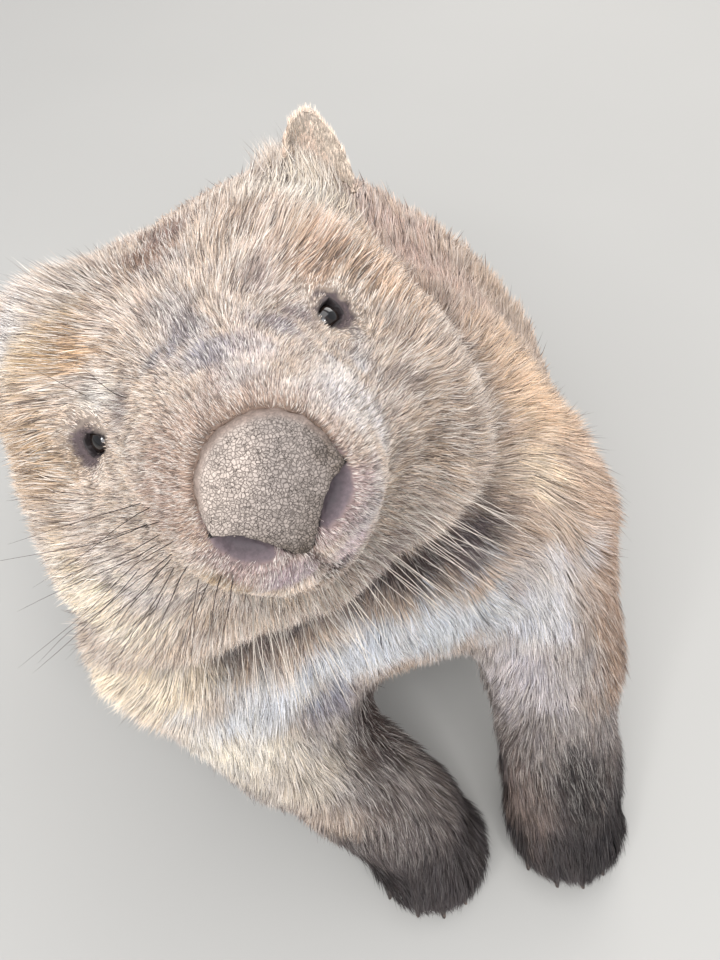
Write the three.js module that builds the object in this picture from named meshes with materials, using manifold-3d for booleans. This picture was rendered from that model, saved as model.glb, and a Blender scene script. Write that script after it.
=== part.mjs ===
// A common wombat sitting up on its haunches, forefeet planted in front of it, its broad head
// raised, turned to its right and tipped over. Life size, millimetres, +Z up, nose towards -Y,
// the animal's left side towards +X. Every outline is the tips of the coat.
import * as THREE from 'three';
import { mergeVertices } from 'three/addons/utils/BufferGeometryUtils.js';
import Module from 'manifold-3d';

const wasm = await Module();
wasm.setup();

// Gap kept between two nodes that meet face to face.
const seamGap = 0.3;

// The head's own frame: its origin is midway between the eyes, x to the animal's left,
// y towards the back of the skull, z up out of the crown.
const headOrigin = [-74, -124.5, 376.5];
const headBack = [-0.027, 0.822, -0.568];
const headUp = [-0.315, 0.533, 0.785];

// Head, sizes in the head's frame.
const crownHeight = 57;
const crownSpread = 42;
const craniumRadii = [45, 64, 50];
const cheekCentre = [56, 44, -51];
const cheekRadii = [44, 52, 54];
const muzzleCentre = [0, -27, -23];
const muzzleRadii = [45, 50, 38];
const midFaceCentre = [30, 3, -37];
const midFaceRadii = [37, 42, 29];
const bridgeCentre = [0, -6, -4];
const bridgeRadii = [35, 44, 30];
const foreheadCentre = [0, 34, 4];
const foreheadRadii = [46, 50, 40];
const noseCentre = [0, -56, -22];
const noseRadii = [25, 29, 28];
const lipCentre = [15, -60, -37];
const lipRadii = [14, 15, 12];
const browCentre = [37, 31, 21];
const browRadii = [27, 27, 20];
const chinCentre = [0, -36, -54];
const chinRadii = [25, 25, 18];
const throatCentre = [0, 34, -62];
const throatRadii = [62, 58, 46];
const eyeSpot = [44.5, -4, -1];
const eyeSunk = 3;
const eyeRadius = 7;
const lidRadius = 2.1;
const headSoftness = 17;

// Nose pad: half of its shield outline, seen from the front, and how far it stands proud.
const padOutline = [
  [0, 1.2],
  [6.2, 0.5],
  [12.2, -2.2],
  [17.4, -7.2],
  [20.4, -13.6],
  [21.4, -20],
  [22, -24.5],
  [16.2, -25.8],
  [11.2, -29.5],
  [7, -34.7],
  [3, -40.6],
  [0, -43.2],
];
const padProud = 1.2;
const padBack = -62;
const nostrilWidth = 2.6;
const nostrilDepth = 9;

// Mouth: half of its line in the head's frame, from the middle to the corner.
const mouthLine = [
  [0, -72, -53],
  [12, -66, -57],
  [23, -50, -63],
  [31, -32, -68],
];
const mouthGrooveRadius = 1.7;

// Ears, in the head's frame.
const earRoot = [69, 60, 35];
const earAxis = [0.44, 0.2, 0.87];
const earFacing = [0.42, -0.9, 0];
const earHeight = 32;
const earHalfWidth = 17.5;
const earCup = 9;
const earThickness = 4.5;

// Body.
const rumpCentre = [-4, 172, 109];
const rumpRadii = [134, 120, 113];
const backCentre = [-6, 66, 196];
const backRadii = [98, 142, 82];
const bellyCentre = [12, 42, 156];
const bellyRadii = [132, 132, 112];
const chestCentre = [-4, -48, 204];
const chestRadii = [112, 88, 96];
const breastCentre = [-8, -88, 186];
const breastRadii = [66, 50, 62];
const neckFrom = [-66, -63, 294];
const neckTo = [-18, -46, 222];
const neckRadii = [84, 100];
const ruffCentre = [-112, -120, 224];
const ruffRadii = [45, 46, 48];
const trunkSoftness = 42;
const tailRoot = [-4, 284, 92];
const tailTip = [-4, 310, 70];
const tailBuried = [0, -22, 14];
const tailRadii = [13, 13, 12, 10, 8, 4];

// Limbs: shoulder or hip, elbow or knee, wrist or hock, and the paw on the floor.
const foreLeft = {
  shoulder: [74, -84, 196],
  shoulderRadius: 58,
  elbow: [92, -128, 112],
  elbowRadius: 43,
  wrist: [92, -178, 44],
  wristRadius: 35,
  paw: [90, -196, 21],
};
const foreRight = {
  shoulder: [-94, -109, 191],
  shoulderRadius: 61,
  elbow: [-66, -136, 112],
  elbowRadius: 43,
  wrist: [-8, -176, 46],
  wristRadius: 35,
  paw: [4, -192, 21],
};
const forePawRadii = [36.5, 38, 24];
const hindLeft = { thigh: [94, 122, 96], knee: [108, 56, 84], foot: [108, 62, 21], turn: -0.12 };
const hindRight = { thigh: [-96, 124, 96], knee: [-104, 58, 84], foot: [-106, 64, 21], turn: 0.12 };
const thighRadii = [56, 88, 84];
const hipRadius = 60;
const kneeRadius = 46;
const footRadii = [31, 60, 24];
const toesCentre = [0, -26, -2];
const toesRadii = [34, 34, 21];
const foreLegSoftness = 12;
const hindLegSoftness = 20;
const bodySoftness = 24;
const toeSpread = 13;
const foreClaws = { count: 5, reach: 20, height: 10, length: 9.5 };
const hindClaws = { count: 4, reach: 42, height: 9.5, length: 9 };
const clawRadius = 3.5;
const clawDroop = 5.5;
const clawBuried = 3.5;
const clawClear = 0.6;

// Steps of the grids that the surfaces are drawn on.
const headStep = 8;
const neckStep = 15;
const torsoStep = 23;
const limbStep = 15;
const pawStep = 10.5;

// Vectors as plain arrays.
const add = (a, b) => [a[0] + b[0], a[1] + b[1], a[2] + b[2]];
const sub = (a, b) => [a[0] - b[0], a[1] - b[1], a[2] - b[2]];
const scale = (a, s) => [a[0] * s, a[1] * s, a[2] * s];
const dot = (a, b) => a[0] * b[0] + a[1] * b[1] + a[2] * b[2];
const cross = (a, b) => [
  a[1] * b[2] - a[2] * b[1],
  a[2] * b[0] - a[0] * b[2],
  a[0] * b[1] - a[1] * b[0],
];
const unit = (a) => scale(a, 1 / Math.hypot(...a));
const mix = (a, b, t) => add(scale(a, 1 - t), scale(b, t));
const mirrored = (a, side) => [a[0] * side, a[1], a[2]];

// A frame is an origin and three axes, made square from the last two given.
function makeFrame(origin, back, up) {
  const y = unit(back);
  const x = unit(cross(y, up));
  const z = cross(x, y);
  const toWorld = (p) =>
    add(origin, add(scale(x, p[0]), add(scale(y, p[1]), scale(z, p[2]))));
  const toLocal = (p) => {
    const d = sub(p, origin);
    return [dot(d, x), dot(d, y), dot(d, z)];
  };
  const turn = (v) => add(scale(x, v[0]), add(scale(y, v[1]), scale(z, v[2])));
  return { origin, x, y, z, toWorld, toLocal, turn };
}
const world = makeFrame([0, 0, 0], [0, 1, 0], [0, 0, 1]);
const head = makeFrame(headOrigin, headBack, headUp);

// Distance-like fields, negative inside.
function ellipsoid(centre, radii, frame = world) {
  return (p) => {
    const q = sub(frame.toLocal(p), centre);
    const a = Math.hypot(q[0] / radii[0], q[1] / radii[1], q[2] / radii[2]);
    const b = Math.hypot(q[0] / radii[0] ** 2, q[1] / radii[1] ** 2, q[2] / radii[2] ** 2);
    return b < 1e-9 ? -Math.min(...radii) : (a * (a - 1)) / b;
  };
}
function taperedBar(from, to, startRadius, endRadius) {
  const along = sub(to, from);
  const length2 = dot(along, along);
  return (p) => {
    const t = Math.min(1, Math.max(0, dot(sub(p, from), along) / length2));
    const q = sub(p, add(from, scale(along, t)));
    return Math.hypot(...q) - (startRadius + (endRadius - startRadius) * t);
  };
}
function blend(fields, softness) {
  return (p) => {
    let d = fields[0](p);
    for (let i = 1; i < fields.length; i++) {
      const e = fields[i](p);
      const h = Math.max(softness - Math.abs(d - e), 0) / softness;
      d = Math.min(d, e) - (h * h * softness) / 4;
    }
    return d;
  };
}
function gradient(field, p) {
  const e = 0.05;
  return [0, 1, 2].map((k) => {
    const a = [...p];
    const b = [...p];
    a[k] += e;
    b[k] -= e;
    return (field(a) - field(b)) / (2 * e);
  });
}
function ontoSurface(field, p, level = 0, limit = 20) {
  let q = p;
  for (let i = 0; i < 4; i++) {
    const g = gradient(field, q);
    const g2 = Math.max(dot(g, g), 0.05);
    let move = (level - field(q)) / g2;
    move = Math.max(-limit, Math.min(limit, move));
    q = add(q, scale(g, move));
  }
  return q;
}

// Coordinates from one value to another in steps that may grow along the way.
function steps(from, to, first, last = first) {
  const values = [from];
  while (values.at(-1) < to) {
    const t = (values.at(-1) - from) / (to - from);
    values.push(values.at(-1) + first + (last - first) * t);
  }
  return values;
}

// Surface of a field drawn on a grid: one vertex in each cell that the surface crosses,
// moved onto the surface, and a quad round each grid edge that it crosses.
function skinOf(field, frame, xs, ys, zs, level = 0) {
  const [nx, ny, nz] = [xs.length, ys.length, zs.length];
  const at = (i, j, k) => (i * ny + j) * nz + k;
  const values = new Float64Array(nx * ny * nz);
  for (let i = 0; i < nx; i++) {
    for (let j = 0; j < ny; j++) {
      for (let k = 0; k < nz; k++) {
        let d = field(frame.toWorld([xs[i], ys[j], zs[k]])) - level;
        const rim = i === 0 || j === 0 || k === 0 || i === nx - 1 || j === ny - 1 || k === nz - 1;
        if (rim) d = Math.max(d, 0.5);
        values[at(i, j, k)] = d === 0 ? 1e-6 : d;
      }
    }
  }
  const corners = [];
  for (let c = 0; c < 8; c++) corners.push([c & 1, (c >> 1) & 1, (c >> 2) & 1]);
  const edges = [];
  for (let a = 0; a < 8; a++) {
    for (let b = a + 1; b < 8; b++) {
      const bits = a ^ b;
      if (bits === 1 || bits === 2 || bits === 4) edges.push([a, b]);
    }
  }
  const cell = new Int32Array(nx * ny * nz).fill(-1);
  const points = [];
  for (let i = 0; i < nx - 1; i++) {
    for (let j = 0; j < ny - 1; j++) {
      for (let k = 0; k < nz - 1; k++) {
        const sum = [0, 0, 0];
        let count = 0;
        for (const [a, b] of edges) {
          const [ca, cb] = [corners[a], corners[b]];
          const va = values[at(i + ca[0], j + ca[1], k + ca[2])];
          const vb = values[at(i + cb[0], j + cb[1], k + cb[2])];
          if (va < 0 === vb < 0) continue;
          const t = va / (va - vb);
          const pa = [xs[i + ca[0]], ys[j + ca[1]], zs[k + ca[2]]];
          const pb = [xs[i + cb[0]], ys[j + cb[1]], zs[k + cb[2]]];
          const q = mix(pa, pb, t);
          sum[0] += q[0];
          sum[1] += q[1];
          sum[2] += q[2];
          count++;
        }
        if (!count) continue;
        let p = frame.toWorld(scale(sum, 1 / count));
        const rim = i < 1 || j < 1 || k < 1 || i > nx - 3 || j > ny - 3 || k > nz - 3;
        if (!rim) p = ontoSurface(field, p, level, 3);
        cell[at(i, j, k)] = points.length;
        points.push(p);
      }
    }
  }
  const triangles = [];
  const far = (a, b) => Math.hypot(...sub(points[a], points[b]));
  const quad = (a, b, c, d, flip) => {
    const ring = flip ? [d, c, b, a] : [a, b, c, d];
    if (far(ring[0], ring[2]) <= far(ring[1], ring[3])) {
      triangles.push([ring[0], ring[1], ring[2]], [ring[0], ring[2], ring[3]]);
    } else {
      triangles.push([ring[0], ring[1], ring[3]], [ring[1], ring[2], ring[3]]);
    }
  };
  for (let i = 0; i < nx - 1; i++) {
    for (let j = 0; j < ny - 1; j++) {
      for (let k = 0; k < nz - 1; k++) {
        const inside = values[at(i, j, k)] < 0;
        if (j && k && inside !== values[at(i + 1, j, k)] < 0) {
          const ring = [at(i, j - 1, k - 1), at(i, j, k - 1), at(i, j, k), at(i, j - 1, k)];
          quad(...ring.map((c) => cell[c]), !inside);
        }
        if (i && k && inside !== values[at(i, j + 1, k)] < 0) {
          const ring = [at(i - 1, j, k - 1), at(i - 1, j, k), at(i, j, k), at(i, j, k - 1)];
          quad(...ring.map((c) => cell[c]), !inside);
        }
        if (i && j && inside !== values[at(i, j, k + 1)] < 0) {
          const ring = [at(i - 1, j - 1, k), at(i, j - 1, k), at(i, j, k), at(i - 1, j, k)];
          quad(...ring.map((c) => cell[c]), !inside);
        }
      }
    }
  }
  return solid(points, triangles);
}

// Closed solids from points and triangles, and from three.js geometry.
function solid(points, triangles) {
  const mesh = new wasm.Mesh({
    numProp: 3,
    vertProperties: new Float32Array(points.flat()),
    triVerts: new Uint32Array(triangles.flat()),
  });
  return new wasm.Manifold(mesh);
}
function solidOf(geometry, place = (p) => p) {
  const bare = geometry.clone();
  bare.deleteAttribute('normal');
  bare.deleteAttribute('uv');
  const merged = mergeVertices(bare, 1e-4);
  const spot = merged.getAttribute('position');
  const points = [];
  for (let i = 0; i < spot.count; i++) points.push(place([spot.getX(i), spot.getY(i), spot.getZ(i)]));
  const index = [...merged.getIndex().array];
  const triangles = [];
  for (let i = 0; i < index.length; i += 3) triangles.push(index.slice(i, i + 3));
  return solid(points, triangles);
}
function largest(body) {
  const pieces = body.decompose();
  return pieces.reduce((a, b) => (b.volume() > a.volume() ? b : a));
}

// All that lies behind a plane, as a large box with one face on it.
function behind(point, normal, shift = 0) {
  const out = unit(normal);
  const side = Math.abs(out[2]) < 0.9 ? [0, 0, 1] : [0, 1, 0];
  const size = 1600;
  const frame = makeFrame(add(point, scale(out, shift - size / 2)), side, out);
  const facing = makeFrame(frame.origin, unit(cross(out, cross(side, out))), out);
  return solidOf(new THREE.BoxGeometry(size, size, size), facing.toWorld);
}
function regionOf(planes, shift = 0) {
  let region = behind(planes[0][0], planes[0][1], shift);
  for (const [point, normal] of planes.slice(1)) {
    region = region.intersect(behind(point, normal, shift));
  }
  return region;
}

// A tube through a row of points, its radius given at each, closed at its ends or into a ring.
function tube(row, radii, sides, closed = false, flat = 1, lift = [0, 0, 1]) {
  const points = [];
  const triangles = [];
  const count = row.length;
  let up = unit(lift);
  for (let i = 0; i < count; i++) {
    const before = closed ? row[(i + count - 1) % count] : row[Math.max(0, i - 1)];
    const after = closed ? row[(i + 1) % count] : row[Math.min(count - 1, i + 1)];
    const along = unit(sub(after, before));
    const wide = unit(cross(along, up));
    up = closed ? unit(lift) : cross(wide, along);
    const rise = cross(wide, along);
    for (let s = 0; s < sides; s++) {
      const turn = (2 * Math.PI * (s + 0.5)) / sides;
      const offset = add(
        scale(wide, Math.cos(turn) * radii[i]),
        scale(rise, Math.sin(turn) * radii[i] * flat)
      );
      points.push(add(row[i], offset));
    }
  }
  const rings = closed ? count : count - 1;
  for (let i = 0; i < rings; i++) {
    for (let s = 0; s < sides; s++) {
      const a = i * sides + s;
      const b = i * sides + ((s + 1) % sides);
      const c = ((i + 1) % count) * sides + ((s + 1) % sides);
      const d = ((i + 1) % count) * sides + s;
      triangles.push([a, b, c], [a, c, d]);
    }
  }
  if (!closed) {
    for (let s = 1; s < sides - 1; s++) {
      triangles.push([0, s + 1, s]);
      const last = (count - 1) * sides;
      triangles.push([last, last + s, last + s + 1]);
    }
  }
  const made = solid(points, triangles);
  if (made.volume() > 0) return made;
  return solid(points, triangles.map(([a, b, c]) => [a, c, b]));
}

// The flesh as fields.
const bothSides = (centre, radii, frame) =>
  [1, -1].map((side) => ellipsoid(mirrored(centre, side), radii, frame));
const craniumCentre = [crownSpread, 63, crownHeight - craniumRadii[2]];
const headFlesh = blend(
  [
    ...bothSides(craniumCentre, craniumRadii, head),
    ...bothSides(cheekCentre, cheekRadii, head),
    ...bothSides(browCentre, browRadii, head),
    ellipsoid(muzzleCentre, muzzleRadii, head),
    ...bothSides(midFaceCentre, midFaceRadii, head),
    ellipsoid(bridgeCentre, bridgeRadii, head),
    ellipsoid(foreheadCentre, foreheadRadii, head),
    ellipsoid(noseCentre, noseRadii, head),
    ...bothSides(lipCentre, lipRadii, head),
    ellipsoid(chinCentre, chinRadii, head),
    ellipsoid(throatCentre, throatRadii, head),
  ],
  headSoftness
);
const trunk = blend(
  [
    ellipsoid(rumpCentre, rumpRadii),
    ellipsoid(bellyCentre, bellyRadii),
    ellipsoid(backCentre, backRadii),
    ellipsoid(chestCentre, chestRadii),
    ellipsoid(breastCentre, breastRadii),
    taperedBar(neckFrom, neckTo, ...neckRadii),
    ellipsoid(ruffCentre, ruffRadii),
  ],
  trunkSoftness
);
function foreLimb(limb) {
  return blend(
    [
      taperedBar(limb.shoulder, limb.elbow, limb.shoulderRadius, limb.elbowRadius),
      taperedBar(limb.elbow, limb.wrist, limb.elbowRadius, limb.wristRadius),
      ellipsoid(limb.paw, forePawRadii),
    ],
    foreLegSoftness
  );
}
function footFrame({ foot, turn }, height = foot[2]) {
  return makeFrame([foot[0], foot[1], height], [Math.sin(turn), Math.cos(turn), 0], [0, 0, 1]);
}
function hindLimb(limb) {
  return blend(
    [
      ellipsoid(limb.thigh, thighRadii),
      taperedBar(limb.thigh, limb.knee, hipRadius, kneeRadius),
      ellipsoid([0, 0, 0], footRadii, footFrame(limb)),
      ellipsoid(toesCentre, toesRadii, footFrame(limb)),
    ],
    hindLegSoftness
  );
}
const core = blend([trunk, headFlesh], bodySoftness);
const leftSide = blend([core, foreLimb(foreLeft), hindLimb(hindLeft)], bodySoftness);
const rightSide = blend([core, foreLimb(foreRight), hindLimb(hindRight)], bodySoftness);
const flesh = (p) => Math.min(leftSide(p), rightSide(p));

// Where the nodes part.
const headPlane = [head.toWorld([0, 77, 0]), head.turn([0, 0.96, -0.28])];
const opposite = (plane) => [plane[0], scale(plane[1], -1)];
const neckPlane = [[-50, -62, 284], [-0.447, -0.262, 0.851]];
const foreLeftPlanes = [
  [[48, -150, 116], [-0.79, 0, 0.61]],
  [[110, -42, 150], [0, 1, 0.12]],
  [[47.5, 0, 0], [-1, 0, 0]],
];
const foreRightPlanes = [
  [[-25, -150, 116], [0.642, 0, 0.767]],
  [[-110, -42, 150], [0, 1, 0.12]],
  [[46.5, 0, 0], [1, 0, 0]],
];
const forePawPlane = [[0, -186, 47], [0, -0.32, 0.95]];
const hindLeftPlanes = [
  [[70, 100, 20], [-0.96, 0, 0.28]],
  [[100, -28, 0], [0, -1, 0]],
];
const hindRightPlanes = [
  [[-68, 100, 20], [0.96, 0, 0.28]],
  [[-100, -28, 0], [0, -1, 0]],
];
const hindPawPlane = [[0, 60, 44], [0, -0.25, 0.97]];
const half = seamGap / 2;
const floor = behind([0, 0, 0], [0, 0, -1]);

// Head: flesh before the head plane, with eye sockets, lids, nostrils, pad seat and mouth cut.
const headGrid = [
  steps(-112, 112, headStep),
  steps(-100, 122, 6, 11),
  steps(-128, 84, 8.4, 7.6),
];
let headBody = skinOf(flesh, head, ...headGrid).intersect(behind(...headPlane, -half));

// Each eyeball sits a little under the surface and looks out and forward.
function eyeSeat(side) {
  const spot = ontoSurface(flesh, head.toWorld(mirrored(eyeSpot, side)));
  const normal = unit(gradient(flesh, spot));
  const out = unit(add(normal, head.turn([0, -0.5, 0])));
  const along = unit(sub(head.z, scale(out, dot(head.z, out))));
  return { centre: sub(spot, scale(normal, eyeSunk)), out, rise: along, along: cross(along, out) };
}
const eyeSeats = { 1: eyeSeat(1), [-1]: eyeSeat(-1) };
function lidRing(side) {
  const { centre, out, along, rise } = eyeSeats[side];
  const row = [];
  const radii = [];
  for (let i = 0; i < 14; i++) {
    const turn = (2 * Math.PI * i) / 14;
    const wide = 0.84 * Math.cos(turn);
    const high = 0.6 * Math.sin(turn);
    const way = unit(add(scale(out, 0.62), add(scale(along, wide), scale(rise, high))));
    row.push(add(centre, scale(way, eyeRadius + 0.7)));
    radii.push(lidRadius * (1 + 0.18 * Math.sin(turn)));
  }
  return tube(row, radii, 6, true, 1, out);
}
const ballOf = (side, radius) =>
  solidOf(new THREE.IcosahedronGeometry(radius, 3), (p) => add(eyeSeats[side].centre, p));
for (const side of [1, -1]) {
  headBody = headBody.add(lidRing(side)).subtract(ballOf(side, eyeRadius + seamGap));
}

// A prism standing on the face, its outline in the head's x and z, from one depth to another.
function facePrism(outline, from, to) {
  const shape = new THREE.Shape(outline.map(([x, z]) => new THREE.Vector2(x, z)));
  const prism = new THREE.ExtrudeGeometry(shape, { depth: to - from, bevelEnabled: false });
  return solidOf(prism, ([x, z, y]) => head.toWorld([x, to - y, z]));
}
const padRing = [
  ...padOutline,
  ...padOutline
    .slice(1, -1)
    .reverse()
    .map(([x, z]) => [-x, z]),
];
const padMiddle = [0, -18];
const grown = (ring, by) =>
  ring.map(([x, z]) => {
    const d = Math.hypot(x - padMiddle[0], z - padMiddle[1]);
    return [x + ((x - padMiddle[0]) * by) / d, z + ((z - padMiddle[1]) * by) / d];
  });
const padGrid = [steps(-30, 30, 4), steps(-96, -50, 4), steps(-54, 12, 4)];
const nosePad = skinOf(flesh, head, ...padGrid, padProud).intersect(
  facePrism(padRing, -110, padBack)
);
headBody = headBody.subtract(facePrism(grown(padRing, 0.45), -110, padBack + seamGap));

// Nostrils: a slit under each lower edge of the pad, widest near its outer end.
for (const side of [1, -1]) {
  const edge = [
    [21.5, -25.4, 0.3],
    [17, -26.6, 1],
    [12, -29.4, 0.9],
    [8, -34, 0.55],
    [4.5, -39, 0.15],
  ];
  const ring = [];
  for (const [x, z] of edge) ring.push([x * side, z + 1.2]);
  for (const [x, z, open] of [...edge].reverse()) {
    ring.push([(x + nostrilWidth * open * 0.55) * side, z - nostrilWidth * open]);
  }
  headBody = headBody.subtract(facePrism(ring, -110, -78 + nostrilDepth));
}

// Mouth: a narrow groove that follows the surface from corner to corner.
const mouthRow = [
  ...mouthLine.map((p) => mirrored(p, -1)).reverse(),
  ...mouthLine.slice(1),
];
const mouthCurve = new THREE.CatmullRomCurve3(mouthRow.map((p) => new THREE.Vector3(...p)));
const mouthPoints = mouthCurve.getPoints(16).map((v) =>
  ontoSurface(flesh, head.toWorld([v.x, v.y, v.z]), -0.6, 12)
);
const mouthRadii = mouthPoints.map((p, i) => mouthGrooveRadius * (1.05 - Math.abs(i - 8) / 12));
headBody = headBody.subtract(
  tube(mouthPoints, mouthRadii, 4, false, 1, head.z)
);
const philtrum = [
  [0, -80, -41],
  [0, -78, -47],
  [0, -73, -53],
].map((p) => ontoSurface(flesh, head.toWorld(p), -0.4, 12));
headBody = headBody.subtract(tube(philtrum, [0.9, 1.1, 1.2], 4, false, 1, head.x));

// Ears: a cupped leaf lofted from root to tip and cut free of the head.
function ear(side) {
  const axis = unit(mirrored(earAxis, side));
  const facing0 = mirrored(earFacing, side);
  const facing = unit(sub(facing0, scale(axis, dot(facing0, axis))));
  const across = cross(facing, axis);
  const points = [];
  const triangles = [];
  const levels = 9;
  const spans = 8;
  for (let i = 0; i <= levels; i++) {
    const t = i / levels;
    const high = -12 + (earHeight + 12) * Math.sin((t * Math.PI) / 2);
    const near = Math.min(1, Math.max(0, high / earHeight));
    const wide = earHalfWidth * (1.02 - near ** 2.2) ** 0.56 * (high < 0 ? 0.92 : 1);
    const cup = earCup * (1 - near ** 2) * (wide / earHalfWidth);
    const thick = earThickness * (1 - 0.45 * near);
    const centre = add(mirrored(earRoot, side), scale(axis, high));
    const ring = [];
    for (let s = 0; s <= spans; s++) {
      const u = (2 * s) / spans - 1;
      const rim = 0.35 + 0.65 * (1 - u * u);
      ring.push([wide * u, cup * u * u - thick * rim * 0.5]);
    }
    for (let s = spans; s >= 0; s--) {
      const u = (2 * s) / spans - 1;
      const rim = 0.35 + 0.65 * (1 - u * u);
      ring.push([wide * u * 0.97, cup * u * u + thick * rim * 0.5]);
    }
    for (const [a, f] of ring) {
      points.push(head.toWorld(add(centre, add(scale(across, a), scale(facing, f)))));
    }
  }
  const n = 2 * (spans + 1);
  for (let i = 0; i < levels; i++) {
    for (let s = 0; s < n; s++) {
      const a = i * n + s;
      const b = i * n + ((s + 1) % n);
      triangles.push([a, b, b + n], [a, b + n, a + n]);
    }
  }
  for (const [base, flip] of [
    [0, true],
    [levels * n, false],
  ]) {
    for (let s = 0; s < spans; s++) {
      const a = base + s;
      const b = base + s + 1;
      const c = base + n - 2 - s;
      const d = base + n - 1 - s;
      const faces = [
        [a, b, c],
        [a, c, d],
      ];
      for (const f of faces) triangles.push(flip ? [f[0], f[2], f[1]] : f);
    }
  }
  let leaf = solid(points, triangles);
  if (leaf.volume() < 0) leaf = solid(points, triangles.map(([a, b, c]) => [a, c, b]));
  return leaf;
}
const earGrid = (side) => [
  side > 0 ? steps(24, 112, headStep) : steps(-112, -24, headStep),
  steps(14, 104, headStep),
  steps(-6, 76, headStep),
];
const ears = [1, -1].map((side) =>
  largest(ear(side).subtract(skinOf(flesh, head, ...earGrid(side), seamGap)))
);

// Neck, torso and limbs, each drawn on its own grid and parted from the next.
const rest = regionOf([opposite(headPlane)], -half);
const belowNeck = rest.intersect(behind(...neckPlane, -half));
const neckFrame = makeFrame([-62, -62, 300], [0.447, 0.262, -0.851], [0, 1, 0.2]);
const neckGrid = [steps(-128, 128, neckStep), steps(-90, 62, neckStep), steps(-128, 128, neckStep)];
const neckBody = skinOf(flesh, neckFrame, ...neckGrid)
  .intersect(rest)
  .intersect(behind(...opposite(neckPlane), -half));

const torsoGrid = [
  steps(-168, 168, torsoStep),
  steps(-188, 330, torsoStep),
  steps(-24, 372, torsoStep),
];
let torsoBody = skinOf(flesh, world, ...torsoGrid).intersect(belowNeck).intersect(floor);
for (const planes of [foreLeftPlanes, foreRightPlanes, hindLeftPlanes, hindRightPlanes]) {
  torsoBody = torsoBody.subtract(regionOf(planes, half));
}
torsoBody = largest(torsoBody);

const pawGrid = ([x0, x1, y0, y1]) => [
  steps(x0, x1, pawStep),
  steps(y0, y1, pawStep),
  steps(-17, 84, pawStep),
];
function limbNodes(planes, pawPlane, box, pawBox) {
  const region = regionOf(planes, -half).intersect(floor).intersect(belowNeck);
  const [x0, x1, y0, y1, z1] = box;
  const legGrid = [steps(x0, x1, limbStep), steps(y0, y1, limbStep), steps(-14, z1, limbStep)];
  const leg = skinOf(flesh, world, ...legGrid).intersect(region);
  const paw = skinOf(flesh, world, ...pawGrid(pawBox)).intersect(region);
  return [
    largest(leg.intersect(behind(...opposite(pawPlane), -half))),
    largest(paw.intersect(behind(...pawPlane, -half))),
  ];
}
const foreLeftBox = [28, 152, -264, -126];
const foreRightBox = [-68, 66, -264, -126];
const hindLeftBox = [52, 172, -46, 160];
const hindRightBox = [-166, -44, -46, 160];
const [foreLegLeft, forePawLeft] = limbNodes(
  foreLeftPlanes,
  forePawPlane,
  [28, 170, -262, -20, 268],
  foreLeftBox
);
const [foreLegRight, forePawRight] = limbNodes(
  foreRightPlanes,
  forePawPlane,
  [-168, 70, -262, -20, 268],
  foreRightBox
);
const [hindLegLeft, hindPawLeft] = limbNodes(
  hindLeftPlanes,
  hindPawPlane,
  [48, 196, -60, 250, 240],
  hindLeftBox
);
const [hindLegRight, hindPawRight] = limbNodes(
  hindRightPlanes,
  hindPawPlane,
  [-190, -36, -60, 250, 240],
  hindRightBox
);

// Tail stub, cut free of the rump.
const tailStart = add(tailRoot, tailBuried);
const tailRow = [0, 0.25, 0.5, 0.75, 0.92, 1].map((t) => mix(tailStart, tailTip, t));
const tailGrid = [steps(-58, 50, 13), steps(216, 330, 13), steps(40, 160, 13)];
const tailBody = largest(
  tube(tailRow, tailRadii, 10).subtract(skinOf(flesh, world, ...tailGrid, seamGap))
);

// Claws: curved, tapered, each cut free of its paw.
function claw(root, ahead, length, radius, droop) {
  const row = [];
  const radii = [];
  for (let i = 0; i <= 5; i++) {
    const t = i / 5;
    const reach = -6 + (length + 6) * t;
    row.push(add(root, add(scale(ahead, reach), [0, 0, -droop * t * t])));
    radii.push(radius * (1 - 0.68 * t ** 2));
  }
  return tube(row, radii, 6);
}
function clawsOf(label, frame, { count, reach, height, length }, pawBox) {
  const skin = skinOf(flesh, world, ...pawGrid(pawBox), seamGap);
  const made = [];
  for (let i = 0; i < count; i++) {
    const u = i - (count - 1) / 2;
    const fan = (u / count) * 0.75;
    const ahead = frame.turn([Math.sin(fan), -Math.cos(fan), 0]);
    const near = [u * toeSpread * 0.92, -reach + Math.abs(u) ** 1.7 * 4.2, height];
    let root = frame.toWorld(near);
    for (let k = 0; k < 60 && flesh(root) < -clawBuried; k++) root = add(root, ahead);
    const free = claw(root, ahead, length, clawRadius, clawDroop)
      .subtract(skin)
      .intersect(behind([0, 0, clawClear], [0, 0, -1]));
    made.push([`${label}_${i + 1}`, largest(free)]);
  }
  return made;
}
const floorFrame = (spot) => makeFrame([spot[0], spot[1], 0], [0, 1, 0], [0, 0, 1]);
const claws = [
  ...clawsOf('claw_front_left', floorFrame(foreLeft.paw), foreClaws, foreLeftBox),
  ...clawsOf('claw_front_right', floorFrame(foreRight.paw), foreClaws, foreRightBox),
  ...clawsOf('claw_hind_left', footFrame(hindLeft, 0), hindClaws, hindLeftBox),
  ...clawsOf('claw_hind_right', footFrame(hindRight, 0), hindClaws, hindRightBox),
];

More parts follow.
